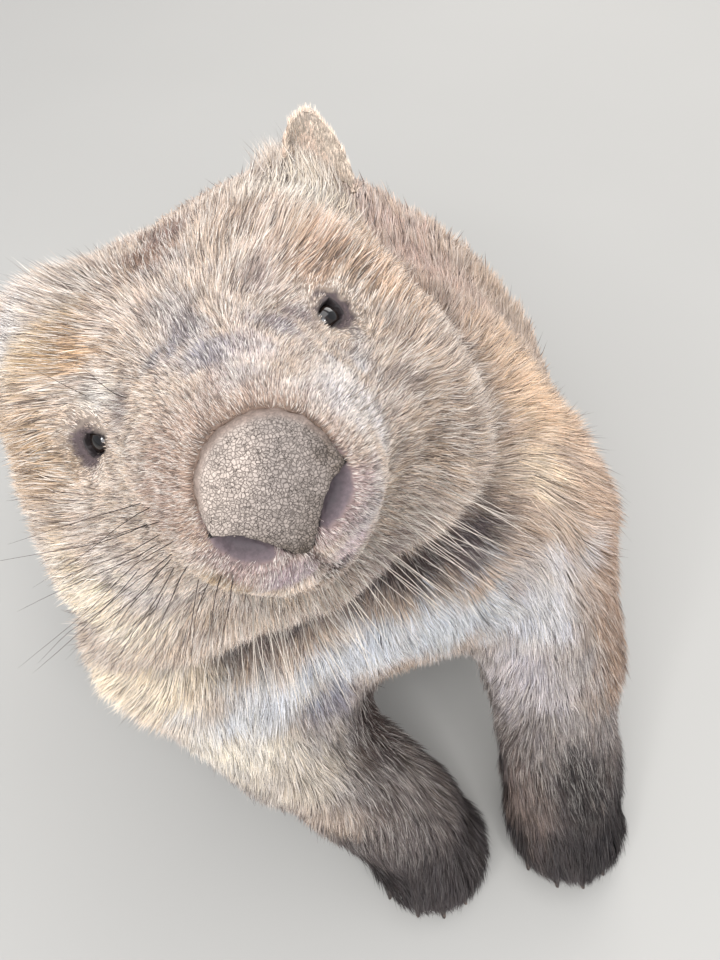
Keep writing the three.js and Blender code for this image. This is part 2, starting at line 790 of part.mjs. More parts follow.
// Colours and finish of each kind of node.
const looks = {
  face: { color: 0xb49a80, roughness: 0.92 },
  coat: { color: 0xa48a72, roughness: 0.94 },
  ear: { color: 0xc2ab8e, roughness: 0.92 },
  paw: { color: 0x4a4144, roughness: 0.9 },
  pad: { color: 0x8d7d6c, roughness: 0.72 },
  eye: { color: 0x17110f, roughness: 0.08 },
  claw: { color: 0x3a322c, roughness: 0.5 },
};
const nodes = [
  ['head', largest(headBody), 'face'],
  ['nose_pad', largest(nosePad), 'pad'],
  ['eye_left', ballOf(1, eyeRadius), 'eye'],
  ['eye_right', ballOf(-1, eyeRadius), 'eye'],
  ['ear_left', ears[0], 'ear'],
  ['ear_right', ears[1], 'ear'],
  ['neck', largest(neckBody), 'coat'],
  ['torso', torsoBody, 'coat'],
  ['tail', tailBody, 'coat'],
  ['foreleg_left', foreLegLeft, 'coat'],
  ['foreleg_right', foreLegRight, 'coat'],
  ['forepaw_left', forePawLeft, 'paw'],
  ['forepaw_right', forePawRight, 'paw'],
  ['hind_leg_left', hindLegLeft, 'coat'],
  ['hind_leg_right', hindLegRight, 'coat'],
  ['hind_paw_left', hindPawLeft, 'paw'],
  ['hind_paw_right', hindPawRight, 'paw'],
  ...claws.map(([name, body]) => [name, body, 'claw']),
];

const wombat = new THREE.Group();
for (const [name, body, look] of nodes) {
  const { vertProperties, triVerts, numProp } = body.getMesh();
  const spots = new Float32Array((vertProperties.length / numProp) * 3);
  for (let i = 0; i < spots.length / 3; i++) {
    for (let k = 0; k < 3; k++) spots[i * 3 + k] = vertProperties[i * numProp + k];
  }
  const geometry = new THREE.BufferGeometry();
  geometry.setAttribute('position', new THREE.BufferAttribute(spots, 3));
  geometry.setIndex(new THREE.BufferAttribute(new Uint32Array(triVerts), 1));
  geometry.computeVertexNormals();
  const material = new THREE.MeshStandardMaterial({ ...looks[look], metalness: 0 });
  const mesh = new THREE.Mesh(geometry, material);
  mesh.name = name;
  wombat.add(mesh);
}

// The middle of the footprint of the whole animal is the origin.
const box = new THREE.Box3().setFromObject(wombat);
wombat.position.set(-(box.min.x + box.max.x) / 2, -(box.min.y + box.max.y) / 2, 0);

export default wombat;
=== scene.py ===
import math

import bmesh
import bpy
import numpy as np
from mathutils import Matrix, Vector
from mathutils.bvhtree import BVHTree


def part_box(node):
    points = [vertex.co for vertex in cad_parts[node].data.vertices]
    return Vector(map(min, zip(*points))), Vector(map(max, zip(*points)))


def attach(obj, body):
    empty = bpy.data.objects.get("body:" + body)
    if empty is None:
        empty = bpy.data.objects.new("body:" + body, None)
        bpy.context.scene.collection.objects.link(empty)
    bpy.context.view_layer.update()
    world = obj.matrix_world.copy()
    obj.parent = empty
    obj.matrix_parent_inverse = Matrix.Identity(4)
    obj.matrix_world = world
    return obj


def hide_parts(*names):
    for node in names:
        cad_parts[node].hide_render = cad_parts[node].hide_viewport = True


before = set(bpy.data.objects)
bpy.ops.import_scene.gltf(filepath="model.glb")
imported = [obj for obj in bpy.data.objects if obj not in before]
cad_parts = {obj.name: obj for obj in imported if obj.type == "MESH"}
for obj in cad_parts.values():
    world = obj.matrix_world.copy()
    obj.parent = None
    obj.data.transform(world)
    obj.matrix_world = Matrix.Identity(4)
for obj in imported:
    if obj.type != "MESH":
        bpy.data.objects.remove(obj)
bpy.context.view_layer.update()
seeded = np.random.default_rng(52)

# The head has its own frame: x to its left, y back from the nose, z up, in millimetres.
headFrame = {
    "origin": (-0.0636, -0.1626, 0.3765),
    "back": (-0.027, 0.822, -0.568),
    "up": (-0.315, 0.533, 0.785),
}
headOrigin = np.array(headFrame["origin"])
headBack = np.array(headFrame["back"])
headBack /= np.linalg.norm(headBack)
headUp = np.array(headFrame["up"])
headUp -= headBack * (headUp @ headBack)
headUp /= np.linalg.norm(headUp)
headAxes = np.stack([np.cross(headBack, headUp), headBack, headUp])

# The bones of each limb from shoulder or hip to toes, in metres.
foreLimbs = [
    [(0.085, -0.122, 0.196), (0.103, -0.166, 0.112), (0.103, -0.216, 0.044), (0.101, -0.252, 0.021)],
    [(-0.083, -0.147, 0.191), (-0.055, -0.174, 0.112), (0.003, -0.214, 0.046), (0.015, -0.248, 0.021)],
]
hindLimbs = [
    [(0.105, 0.084, 0.096), (0.119, 0.018, 0.084), (0.119, 0.024, 0.021), (0.117, -0.022, 0.021)],
    [(-0.085, 0.086, 0.096), (-0.093, 0.020, 0.084), (-0.095, 0.026, 0.021), (-0.093, -0.018, 0.021)],
]
viewer = np.array([-0.0726, -0.4121, 0.630])  # the camera's place
fleshNodes = ["head", "neck", "torso", "tail"]
for limb in ("foreleg", "forepaw", "hind_leg", "hind_paw"):
    fleshNodes += [limb + "_left", limb + "_right"]


def toHead(points):
    return (points - headOrigin) @ headAxes.T * 1000.0


def fromHead(places):
    return headOrigin + np.asarray(places, float) @ headAxes / 1000.0


def ramp(value, low, high):
    t = np.clip((value - low) / (high - low), 0.0, 1.0)
    return t * t * (3.0 - 2.0 * t)


def fade(value, low, high):
    return 1 - ramp(value, low, high)


def bell(value, width):
    return np.exp(-((value / width) ** 2))


def blend(first, second, weight):
    return first * (1.0 - weight) + second * weight


def tint(first, second, weight):
    # blend for rows of colours or directions
    return blend(first, second, np.asarray(weight)[:, None])


def lengths(rows):
    return np.linalg.norm(rows, axis=1)


def unit(rows):
    return rows / np.maximum(np.linalg.norm(rows, axis=-1, keepdims=True), 1e-9)


# Nine soft waves in as many directions stand in for noise where the mesh itself varies.
waveSets = {}
waveTurn = 6.28


def waves(points, size, name):
    if name not in waveSets:
        own = np.random.default_rng(sum(ord(c) for c in name))
        ways = unit(own.normal(size=(9, 3)))
        waveSets[name] = (ways, own.uniform(0, waveTurn, 9), own.uniform(0.6, 1.7, 9))
    ways, starts, paces = waveSets[name]
    phase = (points @ ways.T) * (waveTurn / size) * paces + starts
    return np.sin(phase).sum(1) / 3.0


def stretchReach(points, start, along):
    # distance from one straight stretch
    t = np.clip(((points - start) @ along) / (along @ along), 0, 1)
    return lengths(points - start - t[:, None] * along)


def rowReach(points, row):
    # distance from a row of straight stretches
    row = np.array(row)
    stretches = zip(row[:-1], row[1:])
    return np.min([stretchReach(points, start, end - start) for start, end in stretches], axis=0)


def ringReach(spots, ring):
    # distance from a closed outline, less than nothing inside it
    best = np.full(len(spots), 1e9)
    inside = np.zeros(len(spots), bool)
    for start, end in zip(ring, np.roll(ring, -1, axis=0)):
        along = end - start
        best = np.minimum(best, stretchReach(spots, start, along))
        rise = along[1] if abs(along[1]) > 1e-9 else 1e-9
        crosses = (start[1] > spots[:, 1]) != (end[1] > spots[:, 1])
        inside ^= crosses & (spots[:, 0] < start[0] + along[0] * (spots[:, 1] - start[1]) / rise)
    return np.where(inside, -best, best)


# Nose pad and the bare nostril under each of its lower edges, half of each seen from the front, and
# the line of the mouth, all in the head's millimetres.
padHalf = [
    (0, 1.2), (6.2, 0.5), (12.2, -2.2), (17.4, -7.2), (20.4, -13.6), (21.4, -20),
    (22, -24.5), (16.2, -25.8), (11.2, -29.5), (7, -34.7), (3, -40.6), (0, -43.2),
]
nostrilHalf = [
    (20, -21.5), (21.8, -24.6), (22.4, -28.5), (20.8, -33.2), (17.0, -36.6),
    (12.6, -38.8), (8.6, -38.8), (6.4, -36.6), (7, -32), (9, -28), (12, -22),
]
padRing = np.array(padHalf + [(-x, z) for x, z in reversed(padHalf[1:-1])], float)
nostrilRings = [np.array([(x * side, z) for x, z in nostrilHalf], float) for side in (1, -1)]
mouthHalf = [(0, -72, -53), (12, -66, -57), (23, -50, -63), (31, -32, -68)]
mouthRow = np.array([(-x, y, z) for x, y, z in reversed(mouthHalf)] + mouthHalf[1:], float)
facePlaces = {
    "nose": np.array([0.0, -76.0, -20.0]),
    "skull": np.array([0.0, 30.0, -30.0]),
    "mouth": np.array([3.0, -64.0, -60.0]),
    "crest": np.array([-36, 38, 50]),
    "dip": np.array([4, 42, 50]),
}
earRoots = {side: np.array([69.0 * side, 60, 35]) for side in (1, -1)}
eyeMiddles = {}
for side, node in ((1, "eye_left"), (-1, "eye_right")):
    low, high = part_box(node)
    eyeMiddles[side] = toHead(np.array((low + high) / 2)[None])[0]
print("eyes at", eyeMiddles)


eyeSizes = {"radius": 7.0, "lid": 0.6, "inward": {1: 1.4, -1: 2.9}}
# Outline of each opening seen along the eye's own axis: outwards and upwards, in millimetres.
eyeOpenings = {
    1: [
        (2.7, 5.2), (3.6, 4.3), (4.2, 2.7), (4.6, 1.0), (4.4, -0.8), (3.2, -2.1), (0.8, -2.7),
        (-2.2, -3.6), (-4.7, -3.8), (-5.6, -2.2), (-5.5, 0.0), (-4.5, 1.8), (-2.5, 3.5), (0.2, 4.5),
    ],
    -1: [
        (2.4, 3.9), (-1.1, 2.4), (-3.4, 0.4), (-4.1, -1.6), (-3.4, -4.0),
        (-0.1, -4.3), (3.2, -3.4), (4.3, -1.8), (4.5, 0.6), (4.0, 2.6),
    ],
}
eyeAxes = {}
for side in (1, -1):
    out = unit(np.array([0.567 * side, -0.766, 0.303]))
    wide = unit(np.array([side, 0, 0]) - out * out[0] * side)
    eyeAxes[side] = (out, wide, np.cross(out, wide) * side)
eyeCentres = {side: eyeMiddles[side] - eyeAxes[side][1] * eyeSizes["inward"][side] for side in (1, -1)}


def openingReach(q):
    # distance from the nearer eye's opening, less than nothing inside it
    best = np.full(len(q), 99.0)
    for side in (1, -1):
        out, outwards, upwards = eyeAxes[side]
        v = q - eyeCentres[side]
        reach = ringReach(np.stack([v @ outwards, v @ upwards], 1), np.array(eyeOpenings[side]))
        best = np.where(lengths(v) < 14, np.minimum(best, reach), best)
    return best


def cleftOf(q):
    # the upright furrow from the pad's point to the middle of the mouth
    off = q[:, 0] - 1.0 + 0.12 * (q[:, 2] + 43)
    return bell(off, 1.3) * ramp(-q[:, 2], 40, 43) * fade(-q[:, 2], 59, 63) * (q[:, 1] < -44)


# Where each part of the animal starts and ends: millimetres on the head, metres on the body.
regionReaches = {
    "skull": (104, 142),
    "throatDown": (92, 108),
    "throatBack": (8, 30),
    "foreBack": (-0.13, -0.07),
    "foreLeg": (0.05, 0.075),
    "foreLegUp": (0.14, 0.215),
    "forePaw": (0.06, 0.085),
    "forePawUp": (0.045, 0.085),
    "hindLeg": (0.06, 0.10),
    "hindLegUp": (0.05, 0.11),
    "hindPaw": (0.045, 0.07),
    "hindPawUp": (0.034, 0.055),
    "crownUp": (14, 40),
    "crownBack": (6, 40),
    "lip": (-0.9, 0.9),
    "lid": (1.2, 2.4),
    "patch": (8.8, 11.2),
    "tuft": (18, 32),
    "cheek": (58, 104),
    "cheekAside": (22, 46),
    "jawDown": (58, 84),
    "crest": 19,
    "dip": 17,
    "mouth": 2.0,
}


def regionsOf(points):
    # how far each point belongs to a part of the animal, from 0 to 1, and its distance from the features
    q = toHead(points)
    x, y, z = q.T
    height = points[:, 2]

    def rises(value, name):
        return ramp(value, *regionReaches[name])

    def fades(value, name):
        return fade(value, *regionReaches[name])

    head = fades(lengths(q - facePlaces["skull"]), "skull")
    head = head * (1 - rises(-z, "throatDown") * rises(y, "throatBack"))
    part = {"q": q, "head": head, "nose": lengths((q - facePlaces["nose"]) * [1, 0.8, 1])}
    fore = np.minimum(*[rowReach(points, row) for row in foreLimbs])
    hind = np.minimum(*[rowReach(points, row) for row in hindLimbs])
    front = fades(points[:, 1], "foreBack")
    for name, there, reach in (("fore", front, fore), ("hind", 1 - front, hind)):
        for limb in ("Leg", "Paw"):
            part[name + limb] = there * fades(height, name + limb + "Up") * fades(reach, name + limb)
    part["crown"] = rises(z, "crownUp") * rises(y, "crownBack") * head
    part["ear"] = np.minimum(*[lengths(q - root) for root in earRoots.values()])
    part["eye"] = np.minimum(*[lengths(q - eyeMiddles[side] - [0.5 * side, 0.3, -0.2]) for side in (1, -1)])
    facing = y < -40
    nostril = np.minimum(*[ringReach(q[:, [0, 2]], ring) for ring in nostrilRings])
    part["pad"] = np.where(facing, ringReach(q[:, [0, 2]], padRing), 99.0)
    part["nostril"] = np.where(facing, nostril, 99.0)
    part["lip"] = fades(part["nostril"] + 0.4 * waves(q, 7, "lip"), "lip")
    part["cleft"] = cleftOf(q)
    part["mouth"] = lengths(q - facePlaces["mouth"])
    part["lid"] = openingReach(q) + 0.5 * waves(q, 5, "lid")
    part["bare"] = np.maximum(fades(part["lid"], "lid"), np.maximum(part["lip"], part["pad"] < -0.3))
    part["bare"] = np.maximum(part["bare"], part["mouth"] < regionReaches["mouth"])
    part["patch"] = fades(part["eye"] + 0.9 * waves(q, 6, "patch"), "patch")
    part["tuft"] = fades(part["ear"], "tuft") * np.where(x > 0, 1.0, 0.5)
    part["cheek"] = rises(part["nose"], "cheek") * (1 - 0.85 * part["crown"])
    part["cheek"] = part["cheek"] * (0.3 + 0.7 * rises(np.abs(x), "cheekAside"))
    part["jaw"] = rises(-z, "jawDown") * head
    for name in ("crest", "dip"):
        part[name] = np.exp(-(((q - facePlaces[name]) / regionReaches[name]) ** 2).sum(1))
    return part


# How deep the coat stands over the skin and how long its hair is, in millimetres, and where it changes.
coatSizes = {
    "bodyDepth": 10.0,
    "bodyLength": 25.0,
    "legDepth": 7.0,
    "legLength": 17.0,
    "pawDepth": 3.5,
    "pawLength": 15.0,
    "lidDepth": 0.6,
    "noseDepth": 0.8,
    "noseLength": 2.6,
    "muzzleLength": 5.4,
    "faceDepth": 3.2,
    "faceLength": 8.5,
    "cheekDepth": 3.0,
    "cheekLength": 10.0,
    "crownDepth": 1.5,
    "crownLength": 6.0,
    "tuftLength": 11.0,
    "jawLength": 6.0,
    "crestLength": 8.0,
}
coatReaches = {
    "faceDepth": (24, 60),
    "cheekDepth": (80, 140),
    "lidDepth": (9, 24),
    "muzzleLength": (23, 36),
    "faceLength": (36, 70),
    "lidLength": (11, 25),
    "nostrilLength": (0, 7),
    "mouthLength": (3, 8),
}


def bodyCoat(part, kind):
    leg = np.maximum(part["foreLeg"], part["hindLeg"])
    paw = np.maximum(part["forePaw"], part["hindPaw"])
    return blend(blend(coatSizes["body" + kind], coatSizes["leg" + kind], leg), coatSizes["paw" + kind], paw)


def coatDepth(part):
    onFace = ramp(part["nose"], *coatReaches["faceDepth"])
    head = blend(coatSizes["noseDepth"], coatSizes["faceDepth"], onFace)
    head = head + coatSizes["cheekDepth"] * ramp(part["nose"], *coatReaches["cheekDepth"])
    head = head + coatSizes["crownDepth"] * part["crown"]
    depth = blend(bodyCoat(part, "Depth"), head, part["head"])
    return blend(coatSizes["lidDepth"], depth, ramp(part["eye"], *coatReaches["lidDepth"]))


def coatLength(part):
    head = coatSizes["noseLength"]
    for name in ("muzzleLength", "faceLength"):
        head = blend(head, coatSizes[name], ramp(part["nose"], *coatReaches[name]))
    for name in ("cheek", "crown", "tuft", "jaw", "crest"):
        head = head + coatSizes[name + "Length"] * part[name]
    head = head * (1 - 0.4 * part["dip"])
    length = blend(bodyCoat(part, "Length"), head, part["head"])
    length = length * (0.25 + 0.75 * ramp(part["eye"], *coatReaches["lidLength"]))
    length = length * (0.6 + 0.4 * ramp(part["nostril"], *coatReaches["nostrilLength"]))
    byMouth = 0.4 + 0.6 * ramp(part["mouth"], *coatReaches["mouthLength"])
    return length * (1 - 0.3 * part["cleft"]) * byMouth


# Which way the hair runs: on the head in its own frame, on the body and the limbs in the model's. The
# whorl and the neck are places in the head's frame, where it sets out and where the body's lie takes over.
coatWays = {
    "whorl": np.array([0.0, -84.0, -22.0]),
    "crown": np.array([0.0, 0.25, 1.0]),
    "foreLeg": np.array([0.0, -0.3, -1.0]),
    "hindLeg": np.array([0.0, -0.25, -1.0]),
    "paw": np.array([0.0, -1.0, -0.35]),
    "neck": np.array([0.0, 40.0, -40.0]),
}


def coatLie(points, part):
    # the hair runs from the nose over the face, then back along the body and down the limbs
    q = part["q"]
    x, z = q[:, 0], q[:, 2]
    left = np.sign(x)
    away = unit(q - coatWays["whorl"])
    aside = np.stack([left, 0.45 + 0 * x, 0.1 + 0 * x], 1)
    away = tint(away, unit(aside), 0.6 * ramp(z, -14, 8) * ramp(np.abs(x), 6, 28))
    away = tint(away, coatWays["crown"], 0.4 * part["crown"])
    for middle in eyeMiddles.values():
        off = q - middle
        away = tint(away, unit(off), 0.45 * fade(lengths(off), 10, 18))
    tufts = np.stack([np.where(x > 0, 0.5, -0.5), 0 * x, 0.9 + 0 * x], 1)
    away = unit(tint(away, tufts, 0.8 * part["tuft"])) @ headAxes
    side = np.clip(np.abs(points[:, 0] - 0.006) / 0.13, 0, 1)
    rear = ramp(points[:, 1], 0.1, 0.25)
    ones = np.ones(len(points))
    back = np.stack([0.12 * np.sign(points[:, 0]) * side, ones, -0.15 - 0.5 * side - 0.8 * rear], 1)
    down = np.stack([0.35 * (points[:, 0] - 0.01) / 0.1, 0.1 * ones, -ones], 1)
    body = tint(unit(back), unit(down), fade(points[:, 1], -0.15, -0.03))
    body = tint(body, coatWays["foreLeg"], part["foreLeg"])
    body = tint(body, coatWays["hindLeg"], part["hindLeg"])
    body = tint(body, unit(coatWays["paw"]), np.maximum(part["forePaw"], part["hindPaw"]))
    return unit(tint(away, unit(body), ramp(lengths(q - coatWays["neck"]), 95, 190)))


def tone(red, green, blue):
    # a colour named on screen, as the light it sends back
    return np.array([((c / 255 + 0.055) / 1.055) ** 2.4 if c > 10 else c / 3294 for c in (red, green, blue)])


# Markings: place and size, colour and strength, in millimetres on the head and in metres on the body.
headMarkings = [
    ("cheekWarm", (60, -6, -50), (34, 40, 30), tone(191, 169, 150), 0.9),
    ("cheekWarmRight", (-60, -12, -52), (26, 30, 22), tone(225, 215, 209), 0.7),
    # cream fur, raised towards white as painted light on this low, shaded part of the cheek
    ("jowlCream", (-84, 4, -62), (30, 40, 34), tone(244, 228, 206), 1.0),
    ("templeLeft", (82, 22, 0), (26, 34, 28), tone(212, 179, 150), 0.8),
    ("templeRight", (-76, 20, 6), (26, 34, 30), tone(195, 166, 135), 0.8),
    ("crownPale", (-32, 30, 50), (24, 26, 20), tone(207, 192, 179), 0.9),
    ("crownTan", (0, 34, 48), (18, 30, 20), tone(124, 93, 76), 0.85),
    ("crownLeft", (40, 26, 42), (22, 24, 18), tone(194, 170, 151), 0.8),
    ("crownDusk", (12, 52, 46), (16, 14, 14), tone(116, 86, 78), 0.8),
    ("browRustLeft", (57, 4, 22), (26, 18, 13), tone(198, 166, 142), 0.8),
    ("browRustRight", (-42, 4, 34), (18, 18, 15), tone(200, 163, 123), 0.8),
    ("browRustRightLow", (-46, 12, 40), (16, 12, 12), tone(112, 88, 68), 0.6),
    ("foreheadDusk", (1, -24, 26), (9, 26, 16), tone(147, 139, 141), 0.9),
    ("foreheadDuskLow", (3, -44, 18), (13, 13, 12), tone(143, 139, 148), 0.8),
    ("browDuskLeft", (31, -8, 25), (8, 13, 11), tone(168, 152, 145), 0.8),
    ("browDuskInner", (29, -31, 11), (8, 14, 10), tone(131, 124, 137), 0.75),
    ("eyeDuskRight", (-33, -24, 12), (8, 10, 9), tone(128, 117, 115), 0.8),
    ("foreheadPale", (16, -46, 14), (8, 16, 12), tone(200, 185, 183), 0.6),
    ("bridgePale", (6, -62, 8), (16, 8, 8), tone(209, 198, 196), 0.7),
    ("palePatch", (34, -56, -12), (15, 16, 15), tone(229, 222, 219), 0.85),
    ("palePatchLow", (40, -50, -26), (13, 14, 15), tone(229, 221, 217), 0.75),
    ("bridgeCream", (20, -68, -2), (10, 9, 9), tone(226, 214, 206), 0.8),
    ("crownCornerRight", (-62, 34, 42), (20, 22, 16), tone(232, 226, 222), 0.9),
    ("crownCreamRight", (-58, 16, 34), (20, 16, 12), tone(205, 178, 139), 0.6),
    ("crownCreamMiddle", (2, 10, 38), (13, 12, 10), tone(207, 191, 180), 0.6),
    ("earBase", (62, 44, 36), (26, 24, 24), tone(229, 218, 203), 0.85),
    ("innerPaleRight", (-38, -8, 14), (12, 10, 7), tone(222, 216, 207), 0.65),
    ("innerPaleLeft", (36, -16, 10), (8, 8, 7), tone(126, 112, 118), 0.7),
    ("streakGrey", (56, -18, -30), (12, 20, 10), tone(175, 161, 152), 0.75),
    ("underEyeGrey", (52, -22, -12), (12, 12, 8), tone(190, 189, 194), 0.7),
    ("lipLeft", (20, -78, -42), (12, 12, 12), tone(191, 182, 181), 0.85),
    ("lipLeftLow", (12, -68, -54), (10, 14, 9), tone(207, 188, 192), 0.85),
    ("lipRight", (-8, -76, -50), (14, 14, 9), tone(182, 163, 169), 0.9),
    ("lipTan", (-26, -70, -44), (10, 14, 12), tone(171, 145, 113), 0.8),
    ("chin", (-4, -56, -68), (22, 18, 8), tone(172, 152, 138), 0.85),
    ("chinCream", (-24, -44, -64), (16, 18, 14), tone(182, 165, 148), 0.8),
    ("chinLeft", (24, -48, -62), (12, 20, 10), tone(146, 128, 116), 0.8),
    ("mouthBrown", (3, -64, -60), (7, 8, 5), tone(34, 20, 18), 1.0),
    ("underJaw", (26, -14, -92), (36, 34, 18), tone(140, 124, 118), 0.85),
]
bodyMarkings = [
    ("backDusk", (0.005, 0.08, 0.27), (0.09, 0.15, 0.06), tone(184, 162, 150), 0.9),
    ("neckTop", (0.078, 0.01, 0.278), (0.04, 0.07, 0.03), tone(196, 166, 152), 0.85),
    ("neckRim", (0.062, -0.05, 0.306), (0.024, 0.10, 0.022), tone(160, 134, 118), 0.85),
    ("rumpBrown", (0.005, 0.22, 0.12), (0.13, 0.10, 0.12), tone(160, 138, 122), 0.85),
    ("flankLeft", (0.15, 0.04, 0.13), (0.06, 0.12, 0.09), tone(182, 160, 142), 0.8),
    ("flankRight", (-0.14, 0.04, 0.13), (0.06, 0.12, 0.09), tone(182, 160, 142), 0.8),
    ("shoulderCream", (0.100, -0.105, 0.270), (0.046, 0.05, 0.044), tone(238, 206, 174), 0.9),
    ("shoulderOuter", (0.122, -0.16, 0.20), (0.028, 0.06, 0.05), tone(166, 136, 114), 0.85),
    # cream fur, raised towards white as painted light on this side of the neck
    ("neckRight", (-0.116, -0.196, 0.222), (0.040, 0.05, 0.045), tone(246, 230, 208), 1.0),
    ("legOuterRight", (-0.082, -0.211, 0.158), (0.040, 0.05, 0.042), tone(239, 229, 214), 0.95),
    ("forearmRight", (-0.056, -0.222, 0.118), (0.030, 0.05, 0.034), tone(212, 199, 184), 0.85),
    ("wristOuterRight", (-0.046, -0.232, 0.084), (0.022, 0.04, 0.022), tone(196, 176, 160), 0.7),
    ("legInnerRight", (-0.008, -0.196, 0.120), (0.026, 0.05, 0.040), tone(51, 31, 28), 0.9),
    ("legInnerLeft", (0.074, -0.200, 0.142), (0.022, 0.05, 0.040), tone(205, 196, 197), 0.85),
    ("wristInnerLeft", (0.072, -0.238, 0.060), (0.016, 0.04, 0.030), tone(142, 124, 115), 0.8),
    ("forearmDarkLeft", (0.100, -0.240, 0.074), (0.022, 0.04, 0.026), tone(26, 22, 23), 0.85),
    ("legOuterLeft", (0.128, -0.190, 0.140), (0.020, 0.05, 0.050), tone(162, 134, 114), 0.85),
    # the crease marks are partly browner fur, partly painted shade in the crease between cheek and neck
    ("creaseHigh", (0.069, -0.110, 0.291), (0.012, 0.024, 0.014), tone(148, 118, 99), 0.75),
    ("creaseLow", (0.067, -0.138, 0.278), (0.013, 0.020, 0.016), tone(134, 105, 91), 0.8),
    ("sideTan", (0.114, -0.153, 0.234), (0.022, 0.04, 0.028), tone(222, 194, 170), 0.7),
    ("pawDarkLeft", (0.117, -0.258, 0.034), (0.034, 0.05, 0.030), tone(34, 30, 31), 0.75),
    # the dark throat marks are partly dark fur, partly painted shade under the chin
    ("throatDusk", (0.018, -0.182, 0.254), (0.056, 0.05, 0.026), tone(46, 34, 38), 0.95),
    ("throatLeft", (0.042, -0.176, 0.248), (0.024, 0.05, 0.022), tone(75, 65, 70), 0.85),
    ("throatRight", (-0.050, -0.200, 0.240), (0.052, 0.05, 0.021), tone(58, 48, 53), 0.9),
    ("shoulderFront", (0.090, -0.155, 0.262), (0.036, 0.040, 0.030), tone(244, 226, 200), 0.9),
    ("chestWhite", (-0.012, -0.192, 0.198), (0.040, 0.05, 0.032), tone(219, 221, 226), 0.95),
    ("chestWhiteRight", (-0.066, -0.206, 0.192), (0.040, 0.05, 0.030), tone(219, 219, 221), 0.95),
    ("chestWhiteLeft", (0.074, -0.184, 0.192), (0.036, 0.05, 0.034), tone(215, 213, 215), 0.95),
    ("chestMiddle", (0.030, -0.189, 0.196), (0.034, 0.05, 0.028), tone(205, 209, 214), 0.9),
    ("legHighRight", (-0.036, -0.205, 0.166), (0.022, 0.05, 0.020), tone(108, 111, 134), 0.6),
    ("bellyGrey", (0.01, -0.06, 0.07), (0.10, 0.10, 0.05), tone(150, 136, 128), 0.8),
]
coatBase = {
    "head": tone(206, 187, 171),
    "body": tone(192, 170, 152),
    "noseRing": tone(172, 146, 130),
    "lipMauve": tone(176, 152, 150),
    "foreLegHigh": tone(172, 163, 158),
    "foreLegLow": tone(112, 101, 97),
    "paw": tone(62, 56, 56),
    "lid": tone(94, 82, 83),
    # painted shade on the fur in the furrow from the pad to the mouth
    "foldShade": tone(120, 98, 90),
    "hindLeg": tone(146, 128, 117),
    "pale": tone(238, 230, 221),
    "dark": tone(92, 80, 76),
    "guard": tone(58, 48, 48),
}


def marked(colour, places, markings, wobble):
    # lays soft-edged spots over the coat, one after the other
    for name, place, size, spot, strength in markings:
        far = lengths((places - place) / size) * (1 + wobble)
        colour = tint(colour, spot, strength * fade(far, 0.35, 1.25))
    return colour


def coatColour(points, part):
    q = part["q"]
    x, z = q[:, 0], q[:, 2]
    wobble = 0.22 * waves(q, 26, "edge") + 0.12 * waves(q, 9, "fine")
    head = marked(coatBase["head"], q, headMarkings, wobble)
    ring = fade(part["pad"] + 1.5 * waves(q, 20, "ring") + 0.18 * x, 2.5, 12.0)
    head = tint(head, coatBase["noseRing"], 0.85 * ring * ramp(z, -34, -22))
    mauve = fade(part["nostril"] + waves(q, 14, "mauve"), 2.0, 9.0)
    head = tint(head, coatBase["lipMauve"], 0.8 * mauve * ramp(-z, 26, 31))
    head = tint(head, coatBase["lid"], 0.92 * part["patch"])
    # painted shade in the furrow from the pad to the mouth
    head = tint(head, coatBase["foldShade"], 0.85 * part["cleft"])
    height = points[:, 2] + 0.006 * waves(points, 0.05, "legs")
    leg = tint(coatBase["foreLegLow"], coatBase["foreLegHigh"], ramp(height, 0.06, 0.145))
    leg = tint(leg, coatBase["paw"], fade(height, 0.035, 0.085))
    body = tint(coatBase["body"], leg, np.maximum(part["foreLeg"], part["forePaw"]))
    body = marked(body, points, bodyMarkings, wobble)
    body = tint(body, coatBase["hindLeg"], 0.8 * part["hindLeg"])
    body = tint(body, coatBase["paw"], 0.9 * part["hindPaw"])
    return np.clip(tint(body, head, ramp(part["head"], 0.25, 0.75)), 0, 1)


# Skin: the flesh nodes are merged, smoothed, drawn in by the coat's depth and given its face.
skinSizes = {
    "voxel": 0.0036,
    "overlap": 0.0007,
    "softenRounds": 26,
    "seamRounds": 80,
    "faceRounds": 4,
}


def mergedCopy(nodes, name, overlap=0.0):
    whole = bmesh.new()
    for node in nodes:
        part = bmesh.new()
        part.from_mesh(bpy.data.objects[node].data)
        bmesh.ops.remove_doubles(part, verts=part.verts, dist=1e-6)
        part.normal_update()
        for vert in part.verts:
            vert.co += vert.normal * overlap
        bridge = bpy.data.meshes.new("bridge")
        part.to_mesh(bridge)
        part.free()
        whole.from_mesh(bridge)
        bpy.data.meshes.remove(bridge)
    mesh = bpy.data.meshes.new(name)
    whole.to_mesh(mesh)
    whole.free()
    return addPiece(name, mesh)


def addPiece(name, mesh):
    piece = bpy.data.objects.new(name, mesh)
    bpy.context.scene.collection.objects.link(piece)
    return piece


def remesh(piece, voxel):
    # one closed surface over everything that was merged
    step = piece.modifiers.new("closeUp", "REMESH")
    step.mode = "VOXEL"
    step.voxel_size = voxel
    ready = piece.evaluated_get(bpy.context.evaluated_depsgraph_get())
    mesh = bpy.data.meshes.new_from_object(ready)
    piece.modifiers.clear()
    old = piece.data
    piece.data = mesh
    bpy.data.meshes.remove(old)


def rowsOf(items, name, width, kind):
    flat = np.empty(len(items) * width, kind)
    items.foreach_get(name, flat)
    return flat.reshape(-1, width)


def pointsOf(mesh):
    return rowsOf(mesh.vertices, "co", 3, float)


def normalsOf(mesh):
    return rowsOf(mesh.vertex_normals, "vector", 3, np.float32).astype(float)


def edgesOf(mesh):
    return rowsOf(mesh.edges, "vertices", 2, np.int32)


def setPoints(mesh, points):
    mesh.vertices.foreach_set("co", points.astype(np.float32).ravel())
    mesh.update()


